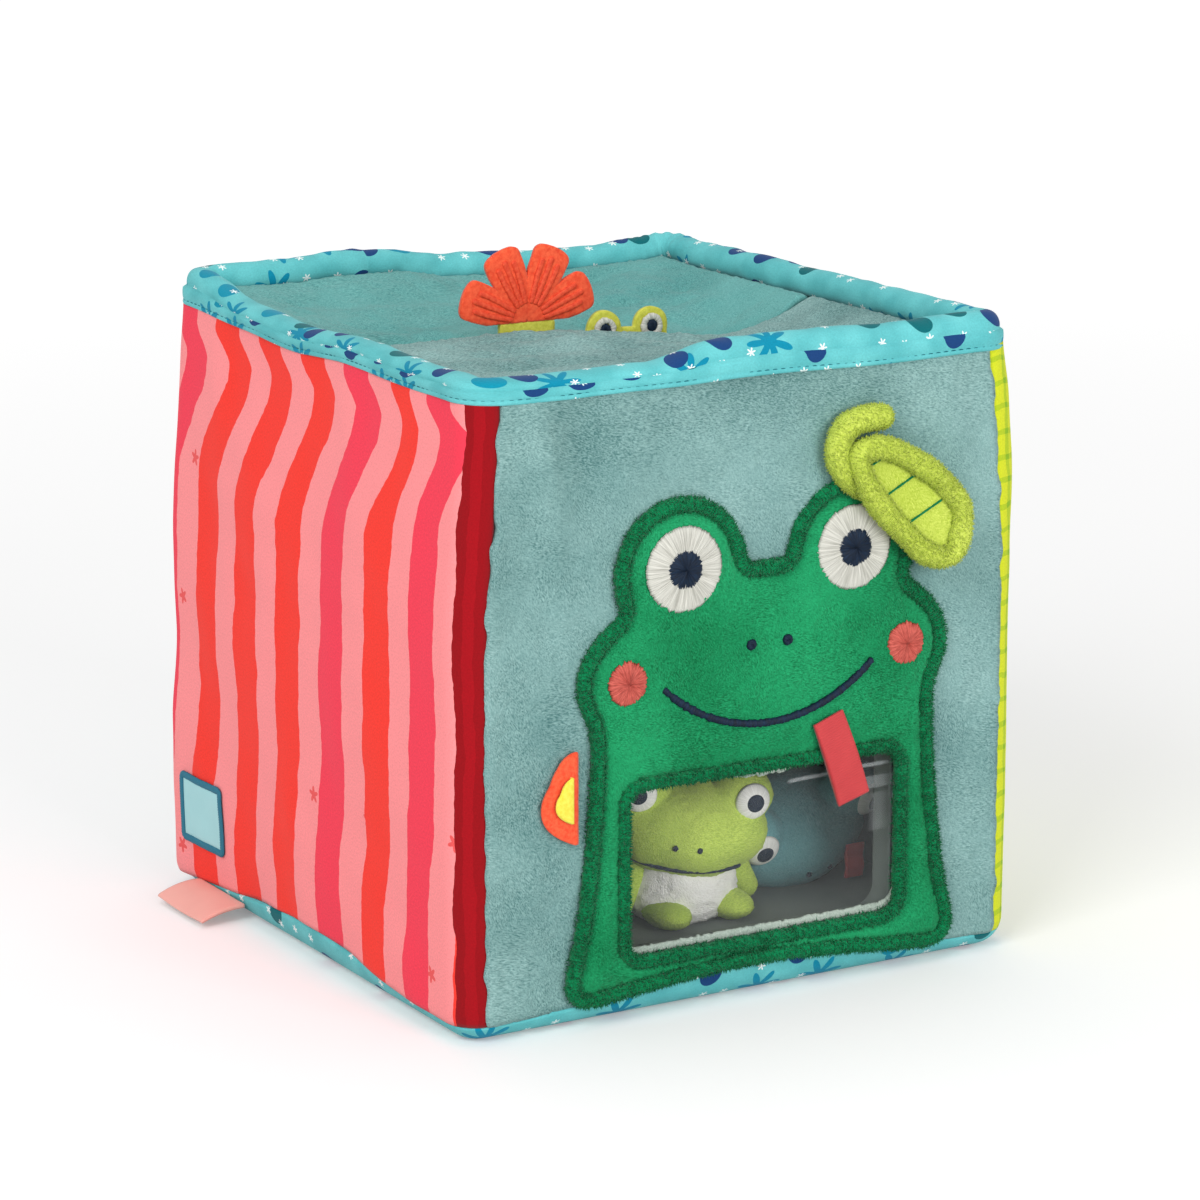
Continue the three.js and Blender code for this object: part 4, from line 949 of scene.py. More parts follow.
loop, inward = rounded_loop(half_x, half_y, corner, 360)
bottom_map = [(loop + inward * base_radius) * t for t in np.linspace(0.01, 1, 40)]
bottom = [np.column_stack([ring, np.zeros(len(loop))]) for ring in bottom_map]
edge_top = base_edge(loop[:, 0], loop[:, 1])
top_angle = np.arccos(1 - np.minimum(edge_top, base_radius) / base_radius)
for t in np.linspace(0, 1, 13)[1:]:
    a = t * top_angle
    over = np.maximum(edge_top - base_radius, 0) * t ** 3
    inset = base_radius * (1 - np.sin(a))
    z = base_radius * (1 - np.cos(a)) + over
    bottom.append(np.column_stack([loop + inward * inset[:, None], z]))
    bottom_map.append(loop + inward * (base_radius - base_radius * a - over)[:, None])
points = np.stack(bottom, 1)
cloth = np.stack(bottom_map, 1)
cloth = np.concatenate([cloth, cloth[:1]])
made = grid_piece("base_cloth", points, "printed_cotton", ["base_cover"], closed=(True, False),
                  cloth_map=cloth, caps=(True, False), thickness=cover_thickness)
as_sheet(made)

# %% [markdown]
# ## Rim binding
# The binding is a tube of printed cotton over wadding, sewn on through its lower edges. It isn't even:
# the wadding bunches, so its radius and its line waver, and along the left side and the near corner it
# is pressed down to little more than half its height. Its two ends lap at the back. A row of stitches
# runs along its outer foot.

# %% Binding tube
butt_x = -27 * mm
loop, inward = rounded_loop(binding_x, binding_y, binding_corner, 720)
start = int(np.argmin(np.hypot(loop[:, 0] - butt_x, loop[:, 1] - binding_y)))
loop, inward = np.roll(loop, -start, 0), np.roll(inward, -start, 0)
path = np.column_stack([loop, np.full(len(loop), binding_z)])
run = lengths_along(path, closed=True)
total = run[-1]
turn = 2 * math.pi * run[:-1, None] / total
ring = np.concatenate([np.cos(turn), np.sin(turn)], 1) * total / (2 * math.pi)
path[:, 2] += 0.5 * mm * waves(ring, 60 * mm, 41) - 0.4 * mm + rim_rise(loop[:, 0], loop[:, 1])
sides = 34
around = np.broadcast_to(np.radians(np.linspace(-8, 250, sides)), (len(path), sides))
place = np.concatenate([np.broadcast_to(ring[:, None], (len(path), sides, 2)),
                        (binding_radius * around)[..., None]], -1)
radius = binding_radius * (0.98 + 0.03 * waves(ring, 34 * mm, 42)[:, None])
radius = radius + 0.22 * mm * waves(place, 9 * mm, 43)
gather = np.exp(-np.hypot(loop[:, 0] - binding_x, loop[:, 1] - binding_y) / (9 * mm))[:, None]
radius = radius + 0.45 * mm * gather * np.sin(run[:-1, None] / (0.55 * mm))
lap_end = np.exp(-((run[:-1] - 3 * mm) / (2.2 * mm)) ** 2)[:, None] * 0.5 * mm
section = (radius + lap_end)[..., None] * np.stack([np.cos(around), np.sin(around)], -1)
lip = np.array([[3.4, -5.7], [4.7, -6.3], [5.4, -6.15], [5.6, -5.6], [5.5, -5.1], [5.3, -4.8], [5.5, -4.4],
                [5.6, -3.6], [5.6, -2.4], [5.5, -1.4]]) * mm
lip = lip + 0.12 * mm * waves(ring, 14 * mm, 44)[:, None, None] * np.array([1.0, 0.6])
section = np.concatenate([section, lip], 1)
pressed = np.where(loop[:, 0] < -binding_x + binding_corner, smooth((80 * mm - loop[:, 1]) / (30 * mm)),
                   smooth((-8 * mm - loop[:, 0]) / (24 * mm)) * (loop[:, 1] < 0))
press, press_from = 0.44, -4.9 * mm
section[..., 1] -= press * pressed[:, None] * np.maximum(section[..., 1] - press_from, 0)
points = carried(path, section, (0, 0, 1), closed=True)
girth = lengths_along(section[0], closed=True)
cloth = grid_of(run[None, :], girth[:, None])
binding = grid_piece("rim_binding_tube", points, "printed_cotton", ["rim_binding"], closed=(True, True),
                     cloth_map=cloth)


# %% Rows of stitches
def stitch_row(name, path, up, finish, pitch, radius, share=0.72):
    """Separate stitches laid along a closed path: each is a short closed tube that thins and dips at its
    ends."""
    run = lengths_along(path, closed=True)
    line = np.vstack([path, path[:1]])
    count = int(run[-1] / pitch)
    steps, sides = 7, 6
    t = np.linspace(-1, 1, steps)
    starts = (np.arange(count) + 0.5) * run[-1] / count
    at = (starts[:, None] + t * share * pitch / 2).ravel()
    behind, spine, ahead = (np.column_stack([np.interp(at + shift, run, line[:, k]) for k in range(3)])
                            for shift in (-pitch / 10, 0, pitch / 10))
    along = unit(ahead - behind)
    side = unit(np.cross(along, np.asarray(up, float)))
    over = np.cross(side, along)
    swell = radius * np.sqrt(np.maximum(1 - np.tile(t, count) ** 2, 0.02))
    angle = np.linspace(0, 2 * math.pi, sides + 1)[:-1]
    sink = (np.tile(t, count) ** 2 * radius * 0.8)[:, None] * over
    points = (spine - sink)[:, None] + swell[:, None, None] * (
        np.cos(angle)[None, :, None] * side[:, None] + np.sin(angle)[None, :, None] * over[:, None])
    i, j = np.meshgrid(np.arange(steps - 1), np.arange(sides), indexing="ij")
    one = np.stack([i * sides + j, i * sides + (j + 1) % sides, (i + 1) * sides + (j + 1) % sides,
                    (i + 1) * sides + j], -1).reshape(-1, 4)
    ends = np.array([[0, 3, 2, 1], [0, 5, 4, 3]])
    one = np.vstack([one, ends, ends[:, ::-1] + (steps - 1) * sides])
    faces = (one[None] + (np.arange(count) * steps * sides)[:, None, None]).reshape(-1, 4)
    cloth = np.stack([np.repeat(at, sides) * 20, np.tile(angle, len(at))], -1)
    return piece(name, points, faces, finish, cloth_map=cloth)


foot = path.copy()
foot[:, :2] -= inward * 5.25 * mm
foot[:, 2] -= 4.85 * mm
stitch_row("rim_stitches", even(foot, 1 * mm, True), (0, 0, 1), "groove_stitching", 2.6 * mm, 0.2 * mm)

# %% [markdown]
# ## Flaps
# Two plush flaps hang from the rim's inner side and nearly meet. Each is a padded sheet: its middle
# sags towards the slit, it ripples from side to side, and its edges are rounded. The section runs from
# the seam over the top to the slit and back underneath, and is the same kind of loop at every width.

# %% Flap height
flap_half, hinge_y, hinge_z = 78.4 * mm, 83.2 * mm, 183.3 * mm
flap_thickness = 3 * mm
slit_front, slit_rear = -3.5 * mm, -0.5 * mm


def flap_height(x, share, rear):
    """Height of a flap's upper face at x and at a share of the way from its seam to the slit."""
    w = (x / flap_half + 1) / 2
    sag = 7 * mm * np.sin(np.pi * np.clip(w, 0, 1) ** 2.6) ** 2
    inner = smooth(np.minimum(w, 1 - w) * 6)
    reach = hinge_y - 2 * mm * (1 - 2 * rear)
    side = smooth((np.abs(x) - flap_half + 12 * mm) / (12 * mm))
    shoulder = 3.2 * mm * smooth(share * reach / (24 * mm)) * (1 - 0.8 * side)
    fall = (sag + (4 * mm * inner if rear else 0)) * smooth(share)
    wave = np.sin(5 * np.pi * w + 3 * share)
    crest = 0 if rear else 1.3 * mm * inner * np.exp(-(((1 - share) * reach - 8 * mm) / (6 * mm)) ** 2)
    rise = rear * rim_rise(x, hinge_y + (slit_rear - hinge_y) * share)
    return hinge_z - shoulder - fall + 0.9 * mm * inner * wave * np.sin(np.pi * share) + crest + rise


# %% Flaps
for name, rear in (("front_flap", 0), ("rear_flap", 1)):
    seam, edge = (hinge_y, slit_rear) if rear else (-hinge_y, slit_front)
    across = np.linspace(-flap_half, flap_half, 141)
    rounding = np.linspace(0, 1, 5)[:-1] ** 1.5 * 1.5 * mm / abs(seam - edge)
    shares = np.concatenate([rounding, np.linspace(rounding[-1] * 1.5, 1 - rounding[-1] * 1.5, 66),
                             (1 - rounding)[::-1]])
    side_gap = np.minimum(flap_half - np.abs(across), 1.5 * mm)[None, :]
    end_gap = np.minimum(np.minimum(shares, 1 - shares) * abs(seam - edge), 1.5 * mm)[:, None]
    round_side = np.sqrt(1 - (1 - np.maximum(side_gap, 0.25 * mm) / (1.5 * mm)) ** 2)
    half = flap_thickness / 2 * np.sqrt(1 - (1 - end_gap / (1.5 * mm)) ** 2) * round_side
    x, share = np.broadcast_arrays(across[None, :], shares[:, None])
    y = seam + (edge - seam) * share
    spot = np.stack([x, y], -1)
    inner = smooth(np.minimum(share, 1 - share) * 8) * smooth((flap_half - np.abs(x)) / (14 * mm))
    crease = 1.1 * mm * waves(spot * [0.8, 1.7], 38 * mm, 51 + rear) + 0.4 * mm * waves(spot, 13 * mm, 53)
    middle = flap_height(x, share, rear) - flap_thickness / 2 + crease * inner
    pile = np.random.default_rng(57 + rear).normal(size=x.shape) * 0.16 * mm * smooth(end_gap / mm)
    upper = np.stack([x, y, middle + half + pile], -1)
    lower = np.stack([x, y, middle - half], -1)[1:-1][::-1]
    # The rear flap takes the darker copy of the aqua plush: painted shade.
    finish = "rear_flap_painted_shade_plush" if rear else "aqua_plush"
    flap = grid_piece(name + "_plush", np.concatenate([upper, lower]), finish, [name], closed=(True, False),
                      caps=(True, True), body=name)

# %% [markdown]
# ## Frog round the window
# The frog is a generic one of our own: a broad head with two bumps on a block that holds the window.
# It is a panel of short pile, sewn down under a border of dense satin stitch. The outline is found
# from the shapes' own distances: along each ray from a middle point, the last place where the smallest
# distance is nought. The border is a half-round section carried along that outline, and each stitch has
# its own ridge and its own reach.


# %% Frog outline
frog_x = 4 * mm
panel_front = -93.3 * mm
applique_front = panel_front - 2.4 * mm


def bezier(a, b, c, count=12):
    """A curve from a to c that starts and ends towards b."""
    t = np.linspace(0, 1, count)[:, None]
    return (1 - t) ** 2 * np.array(a) + 2 * t * (1 - t) * np.array(b) + t ** 2 * np.array(c)


def frog_foot(x):
    return base_edge(np.asarray(x), np.full(np.shape(x), -half_y)) + 1.5 * mm


left_foot, right_foot = frog_x - 63 * mm, frog_x + 63 * mm
foot_x = np.linspace(left_foot + 6 * mm, right_foot - 6 * mm, 16)
foot_line = np.column_stack([foot_x, frog_foot(foot_x)])
left_low, right_low = float(frog_foot(left_foot)), float(frog_foot(right_foot))
block = np.vstack([
    bezier((left_foot, left_low + 6 * mm), (left_foot, left_low), foot_line[0]), foot_line,
    bezier(foot_line[-1], (right_foot, right_low), (right_foot, right_low + 6 * mm)),
    bezier((right_foot, right_low + 6 * mm), (frog_x + 54 * mm, window_z), (frog_x + 54 * mm, 98 * mm)),
    bezier((frog_x - 54 * mm, 98 * mm), (frog_x - 54 * mm, window_z), (left_foot, left_low + 6 * mm)),
])
rays = np.linspace(0, 2 * math.pi, 721)[:-1]
reaches = np.arange(0, 112) * mm
ray_start = np.array([frog_x, 60 * mm])
ray_ways = np.stack([np.cos(rays), np.sin(rays)], -1)
flat = (ray_start + reaches[None, :, None] * ray_ways[:, None]).reshape(-1, 2)
head_wide, head_high, cheek_z = 59, 27, 98 * mm
bump_out, bump_z, bump_radius = 28 * mm, 127 * mm, 19 * mm
from_head = np.hypot((flat[:, 0] - frog_x) / head_wide, (flat[:, 1] - cheek_z) / head_high)
head = (from_head / mm - 1) * head_high * mm
bumps = np.hypot(np.abs(flat[:, 0] - frog_x) - bump_out, flat[:, 1] - bump_z) - bump_radius
shapes = np.stack([nearest(even(block, 3 * mm, True), flat)[0], head, bumps])
blend_length = 1.2 * mm
away = -blend_length * np.log(np.exp(-shapes / blend_length).sum(0)).reshape(len(rays), len(reaches))
last = len(reaches) - 1 - np.argmax(away[:, ::-1] < 0, axis=1)
rows = np.arange(len(rays))
fraction = -away[rows, last] / (away[rows, last + 1] - away[rows, last])
far = reaches[last] + fraction * mm
frog = ray_start + far[:, None] * ray_ways
frog = softened(even(frog, 1.5 * mm, True), 3)
print("frog outline", [round(float(v) / mm, 1) for v in (*frog.min(0), *frog.max(0))], "mm")


def grown(outline, out):
    """An outline moved outward by so much, square to itself."""
    along = unit(np.roll(outline, -1, 0) - np.roll(outline, 1, 0))
    return outline + out * np.column_stack([along[:, 1], -along[:, 0]])


# %% Satin bands and discs
front = (0, -1, 0)


def band(name, path, half, rise, finish, replaced=(), body="cube", up=front, closed=True, pitch=0.9 * mm,
         furrow=0.0, jag=0.08, sides=16, place=None):
    """A band of satin stitch: a half-round section carried along a path. Stitch k has its own width,
    and the surface rises and falls once in each stitch."""
    path = even(path, pitch / 4, closed)
    run = lengths_along(path)
    stitch = np.floor(run / pitch).astype(int)
    own = 1 + jag * np.random.default_rng(len(name)).normal(size=stitch.max() + 1)[stitch]
    ridge = np.abs(np.sin(math.pi * run / pitch))
    angle = (np.arange(sides) + 0.5) * 2 * math.pi / sides
    top = np.sin(angle) > 0
    profile = np.where(top, np.abs(np.sin(angle)) ** 0.6, -0.05)
    profile = profile * (1 - furrow * np.exp(-(np.cos(angle) / 0.18) ** 2) * top)
    out = half * own[:, None] * np.cos(angle) * (0.94 + 0.06 * ridge[:, None])
    over = rise * profile * (0.86 + 0.14 * ridge[:, None])
    if not closed:
        ends = np.minimum(np.arange(len(path)), np.arange(len(path))[::-1]) * pitch / 4 / half
        thin = np.sqrt(1 - (1 - np.clip(ends, 0.03, 1)) ** 2)[:, None]
        out, over = out * thin, over * thin
    points = carried(path, np.stack([out, over], -1), up, closed)
    points = points if place is None else place(points)
    stitches = np.append(run, run[-1] + pitch / 4)[: len(run) + closed] / pitch / 90
    cloth = grid_of(stitches[None, :], np.linspace(0, 1, sides + 1)[:, None])
    return grid_piece(name, points, finish, replaced, closed=(True, closed), caps=(not closed, not closed),
                      cloth_map=cloth, body=body)


def disc(name, x, y, z, radius, rise, finish, replaced=(), body="cube", jag=0.05, teeth=60, seed=1):
    """A stitched disc that faces the front: radius r(angle) with small teeth, and a low dome."""
    angle = np.linspace(0, 2 * math.pi, 4 * teeth + 1)[:-1]
    own = np.random.default_rng(seed).normal(size=teeth)[np.arange(4 * teeth) // 4]
    r = radius * (1 + jag * own * np.abs(np.sin(angle * teeth / 2)))
    t = np.concatenate([np.linspace(0.03, 1, 14), [0.97, 0.03]])
    dome = np.concatenate([np.sqrt(1 - np.linspace(0.03, 0.999, 14) ** 4), [0, 0]])
    streak = 0.08 * rise * np.random.default_rng(seed + 1).normal(size=len(angle))[:, None]
    points = grid_of(x + (r * np.cos(angle))[:, None] * t, y - (rise + streak) * dome,
                     z + (r * np.sin(angle))[:, None] * t)
    return grid_piece(name, points, finish, replaced, closed=(True, False), caps=(True, True), body=body)


# %% Frog panel and borders
panel = grown(even(frog, 1.2 * mm, True), -0.4 * mm)
flat, deep, faces = cut_sheet(panel, 1.1 * mm, [window_outline(0.4 * mm)])
y = panel_front - 2.2 * mm * (1 - np.exp(-deep / (2.2 * mm))) - 0.5 * mm * smooth(deep / (12 * mm))
y = y + 0.25 * mm * waves(flat, 26 * mm, 61) + nap(flat, 62, 0.2 * mm) * smooth(deep / (2 * mm))
made = piece("frog_pile", standing(flat, y), faces, "green_plush", ["frog_applique"], cloth_map=flat,
             thickness=1.2 * mm)
as_sheet(made)
frog_half, window_half, border_rise = 2.1 * mm, 1.9 * mm, 2.9 * mm
window_line = window_outline(0.2 * mm)
band("frog_border", standing(frog, panel_front), frog_half, border_rise, "dark_green_stitching",
     ["applique_border"])
band("window_satin", standing(window_line, panel_front), window_half, border_rise, "dark_green_stitching",
     ["window_border"], furrow=0.35)


def border_pile(name, outline, half, count, seed):
    """Locks over a half-round border: each root at a random place along it and a random turn over it."""
    random = np.random.default_rng(seed)
    line = even(outline, 0.1 * mm, True)
    at = random.integers(0, len(line), count)
    along = unit(np.roll(line, -1, 0) - np.roll(line, 1, 0))[at]
    turn = np.radians(random.uniform(-8, 188, count))
    flat = line[at] + (half * np.cos(turn))[:, None] * np.column_stack([along[:, 1], -along[:, 0]])
    over = border_rise * np.abs(np.sin(turn)) ** 0.6 * np.sign(np.sin(turn)) * 0.95
    out = np.cos(turn)[:, None] * np.column_stack([along[:, 1], 0 * turn, -along[:, 0]])
    ways = out - np.sin(turn)[:, None] * np.array([0, 1.0, 0])
    tufts(name, standing(flat, panel_front - over), ways, 1.15 * mm, 0.19 * mm, "dark_green_stitching", seed)


border_pile("frog_border_pile", frog, frog_half, 11000, 63)
border_pile("window_satin_pile", window_line, window_half, 5000, 64)

tape = window_outline(1.2 * mm)
hangs = smooth((tape[:, 0] + 26 * mm) / (30 * mm)) * (1 - smooth((tape[:, 0] - 12 * mm) / (5 * mm)))
shares = (tape[:, 1] - window_z) / (window_h / 2)
tape_shift = 3.4 * mm
tape[:, 1] += tape_shift * smooth(-shares) - tape_shift * hangs * smooth(shares)
band("window_tape", standing(tape, -91.6 * mm), 1.4 * mm, 1.0 * mm, "seam_tape", pitch=1.1 * mm, jag=0.12,
     sides=12)

# %% Face
face_y = applique_front - 0.15 * mm
for side, word in ((-1, "left"), (1, "right")):
    eye_x, eye_z = frog_x + side * bump_out, 128 * mm
    disc(word + "_eye_ring", eye_x, face_y, eye_z, 12.2 * mm, 1.0 * mm, "white_stitching", [word + "_eye"],
         jag=0.014, teeth=120, seed=68 + side)
    disc(word + "_eye_pupil", eye_x, face_y, eye_z, 6.1 * mm, 1.5 * mm, "navy_stitching", [word + "_pupil"],
         jag=0.04, teeth=44, seed=71 + side)
    disc(word + "_eye_cheek", frog_x + side * 46 * mm, face_y, cheek_z, 6.2 * mm, 1.1 * mm, "coral_stitching",
         [word + "_cheek"], seed=74 + side)
    disc(word + "_nose_dot", frog_x + side * 6 * mm, face_y, 104 * mm, 1.6 * mm, 1.1 * mm, "navy_stitching",
         [word + "_nostril"], teeth=12, seed=77 + side)
smile = arc(frog_x, 131 * mm, 50 * mm, -134, -46, 60)
band("mouth_stitches", standing(smile, face_y), 1.1 * mm, 1.2 * mm, "navy_stitching", ["mouth"], closed=False,
     jag=0.1, sides=10)

# %% [markdown]
# ## Ribbon, leaf and tabs
# A folded grosgrain ribbon hangs over the window like a tongue. The leaf has a stuffed rim of fluffy
# pile round a flat back, with stitched veins, and a stalk that curls over its root. The tag, the patch
# and the label are small sewn extras; they carry no picture and no words.

# %% Ribbon tongue
def turned(points, place, angle):
    """Turns points about the y axis, as the right hand does about +y, and moves them to a place."""
    c, s = math.cos(angle), math.sin(angle)
    x, y, z = (points[..., k] for k in range(3))
    return np.stack([c * x + s * z, y, c * z - s * x], -1) + np.array(place)


def strip_section(length, thick, slack, rib, pitch):
    """A folded strip seen from its side, as out and down: the front layer, the fold and the back layer."""
    down = np.arange(0, length, pitch / 4)
    open_up = slack * np.sin(math.pi * down / length)
    ridge = rib * (0.5 - 0.5 * np.cos(2 * math.pi * down / pitch))
    front_layer = np.column_stack([thick + open_up + ridge, down])
    back_layer = np.column_stack([-ridge * 0.3 - 0 * down, down])[::-1]
    fold = np.array([[thick * 0.85, length + thick * 0.35], [thick * 0.5, length + thick * 0.5],
                     [thick * 0.15, length + thick * 0.35]])
    return np.vstack([front_layer, fold, back_layer])


section = strip_section(26.4 * mm, 1.1 * mm, 0.8 * mm, 0.12 * mm, 0.8 * mm)
section = section if len(section) % 2 == 0 else section[:-1]
across = np.linspace(-5, 5, 15) * mm
bow = 0.5 * mm * np.sin(across / (5 * mm) * 1.3)[None, :] * (section[:, 1:] / (26 * mm))
points = grid_of(across[None, :], -section[:, :1] - bow, -section[:, 1:])
points = turned(points, (23 * mm, -96.6 * mm, 80 * mm), math.radians(-20))
cloth = grid_of(across[None, :], section[:, 1:])
grid_piece("tongue", points, "coral_ribbon", ["tongue_ribbon"], closed=(True, False), caps=(True, True),
           cloth_map=np.concatenate([cloth, cloth[:1]]), body="tongue")

# %% Leaf
tube = 3.5 * mm
kite = np.array([(-1.5, -1), (7, 6), (17, 8.2), (29, 9), (38, 7.8), (43.2, 3.2), (46.5, -4), (44.5, -9),
                 (36, -10.2), (20, -9), (8, -6.5)]) * mm
rim = even(softened(even(kite[::-1], 1.5 * mm, True), 8), 0.55 * mm, True)
path = np.column_stack([rim[:, 0], np.full(len(rim), -tube), rim[:, 1]])
around = np.linspace(0, 2 * math.pi, 49)[:-1]


section = np.stack([np.cos(around), np.sin(around)], -1)


leaf_root = np.array([30, -97.3, 156.5]) * mm


def on_leaf(points):
    """Turns points of the leaf's own plane, and moves them to where it is sewn on."""
    return turned(points, leaf_root, math.radians(39))


def fluffy(path, radius, seed):
    """A tube's radii: its own radius, soft lumps, and uneven ends of the pile."""
    shape = (len(path), len(around))
    spot = np.concatenate([np.broadcast_to(path[:, None], (*shape, 3)),
                           np.broadcast_to(4 * mm * section, (*shape, 2))], -1)
    return radius + (0.3 * mm * waves(spot, 7 * mm, seed) + nap(spot, seed, 0.12 * mm))


points = carried(path, fluffy(path, tube - 0.35 * mm, 81)[..., None] * section, front, closed=True)
leaf_rim = grid_piece("leaf_rim_fluff", on_leaf(points), "lime_plush", ["leaf_rim"], closed=(True, True),
                      body="leaf")


def tube_pile(name, points, path, count, seed, body="cube", place=None):
    """Locks over a tube: each root at a random point of its surface, and its way from the tube's middle."""
    random = np.random.default_rng(seed)
    j, k = random.integers(0, points.shape[0], count), random.integers(0, points.shape[1], count)
    roots, ways = points[j, k], unit(points[j, k] - path[k])
    if place is not None:
        roots, ways = place(roots), place(roots + ways) - place(roots)
    tufts(name, roots, ways, 0.95 * mm, 0.16 * mm, "lime_plush", seed, body)


tube_pile("leaf_rim_pile", points, path, 9000, 85, "leaf", on_leaf)
flat, deep, faces = cut_sheet(rim, 0.8 * mm)
y = -3.0 * mm - 0.7 * mm * smooth(deep / (6 * mm)) + nap(flat, 83, 0.1 * mm)
leaf_middle = piece("leaf_middle", on_leaf(standing(flat, y)), faces, "lime_plush", ["leaf_back"], "leaf",
                    thickness=2.2 * mm)
veins = [((4.8, -3.3), (6.4, 0), (7.8, 3)), ((15, -6.2), (17.6, -0.6), (20, 5)),
         ((27, -7), (29.7, -1), (32.4, 4.6))]
for k, (a, b, c) in enumerate(veins):
    line = bezier(*(np.array(p) * mm for p in (a, b, c)), 16)
    band(f"leaf_vein_{k}", standing(line, -3.8 * mm), 0.32 * mm, 0.4 * mm, "dark_green_stitching",
         body="leaf", closed=False, sides=8, place=on_leaf)
curve = np.vstack([bezier((2.6 * mm, -14 * mm), (-5.6 * mm, -6 * mm), (-5 * mm, 2 * mm), 24)[:-1],
                   bezier((-5 * mm, 2 * mm), (-4.2 * mm, 9.5 * mm), (12.6 * mm, 8 * mm), 34)])
stalk_step = 0.5 * mm
path = even(standing(curve, -0.4 * mm), stalk_step) + leaf_root
from_start = np.arange(len(path)) * stalk_step
ends = np.minimum(from_start, from_start[::-1]) / (3.4 * mm)
blunt = np.sqrt(1 - (1 - np.clip(ends, 0.03, 1)) ** 2)[:, None]
slim = (0.35 + 0.65 * smooth(from_start / (12 * mm)))[:, None]
radius = 3.7 * mm * blunt * slim + (fluffy(path, 0, 84) - 0.2 * mm) * smooth(ends * 2)[:, None] * slim
points = carried(path, radius[..., None] * section, front, closed=False)
stalk = grid_piece("leaf_stalk_fluff", points, "lime_plush", ["leaf_stalk"], closed=(True, False),
                   caps=(True, True))
tube_pile("leaf_stalk_pile", points, path, 3600, 86)


# %% Felt tag and its seed
def drop(scale):
    """A leaf-like drop that hangs out to the left of its seam."""
    half, reach = 13.5 * mm * scale, 11 * mm * scale
    return np.vstack([bezier((0, -half), (-reach * 1.6, -half * 0.5), (-reach * 0.8, half * 0.35))[:-1],
                      bezier((-reach * 0.8, half * 0.35), (-reach * 0.5, half), (0, half))])


tag_place = np.array([-56.8 * mm, 67 * mm])
flat, deep, faces = cut_sheet(even(drop(1), 0.6 * mm, True) + tag_place, 0.6 * mm)
y = panel_front - 1.4 * mm + 0.25 * mm * np.exp(-deep / (0.8 * mm)) + 0.12 * mm * waves(flat, 8 * mm, 91)
made = piece("tag_felt", standing(flat, y), faces, "coral_felt", ["felt_tag"], "felt_tag", cloth_map=flat,
             thickness=1.2 * mm)
as_sheet(made)
seed_place = tag_place + np.array([-2.2 * mm, 0])
flat, deep, faces = cut_sheet(even(drop(0.5), 0.4 * mm, True) + seed_place, 0.4 * mm)
y = panel_front - 3.0 * mm + 0.4 * mm * np.exp(-deep / (0.5 * mm))
piece("tag_seed_felt", standing(flat, y), faces, "yellow_felt", ["tag_seed"], "felt_tag", thickness=1.2 * mm)


# %% Patch and label
def left_wall(y, z, out):
    """A point a little outside the left cover: the plain wall's swell and the cover's own folds."""
    rise = (z - base_edge_low) / (cover_top - base_edge_low)
    push = crown * (1 - (y / seam_y) ** 2) * 4 * rise * (1 - rise) + cover_folds(3, left_folds)(y, z) + out
    return np.stack([-half_x - push, y, z], -1)


patch_y, patch_z = 67 * mm, 28 * mm
long, high = 11.6, 9.1
ys, zs = np.meshgrid(np.linspace(-long, long, 36) * mm, np.linspace(-high, high, 30) * mm, indexing="ij")
fade = np.minimum(long * mm - np.abs(ys), high * mm - np.abs(zs))
points = left_wall(patch_y + ys, patch_z + zs, 0.75 * mm - 0.3 * mm * np.exp(-fade / (0.6 * mm)))
made = grid_piece("patch_cloth", points, "woven_field", ["patch_field"], cloth_map=np.stack([ys, zs], -1),
                  thickness=0.5 * mm)
as_sheet(made)
line = even(rounded_rectangle(0, 0, 12.4 * mm, 9.9 * mm, 1.2 * mm, -90, 8), 0.5 * mm, True)
path = left_wall(patch_y - line[:, 0], patch_z + line[:, 1], 0.35 * mm)
band("patch_edge", path, 1.15 * mm, 0.75 * mm, "teal_woven_rim", ["patch_rim"], up=(-1, 0, 0),
     pitch=0.8 * mm, jag=0.03, sides=10)
label_root = np.array([-92.633 * mm - 0.3 * mm, 58 * mm, 5.6 * mm])
reach, half_length = 14 * mm, 15.5
t = np.linspace(0, 1, 40)
hang = -3 * mm * t ** 2
top = np.column_stack([-reach * t, hang + 0.25 * mm * np.sin(math.pi * t)])
tip = np.array([[-14.3, -3.35], [-14.35, -3.7]]) * mm
under = np.column_stack([-reach * t, hang - 1.1 * mm + 0.1 * mm * t])[::-1]
section = np.vstack([top, tip, under])
wide = np.linspace(-half_length, half_length, 41) * mm
sag = 0.35 * mm * np.cos(wide / (half_length * mm) * 2.2)[None, :] * (section[:, :1] / reach)
points = grid_of(section[:, :1], wide[None, :], section[:, 1:] + sag) + label_root
cloth = grid_of(wide[None, :], section[:, :1])
grid_piece("label_cloth", points, "woven_label", ["side_label"], closed=(True, False), caps=(True, True),
           cloth_map=np.concatenate([cloth, cloth[:1]]), body="side_label")

# %% [markdown]
# ## Felt flower and felt frog
# Both are cut from felt, stand in the slit and are sewn to the rear flap's edge. The petals have three
# raised rows of stitches each.

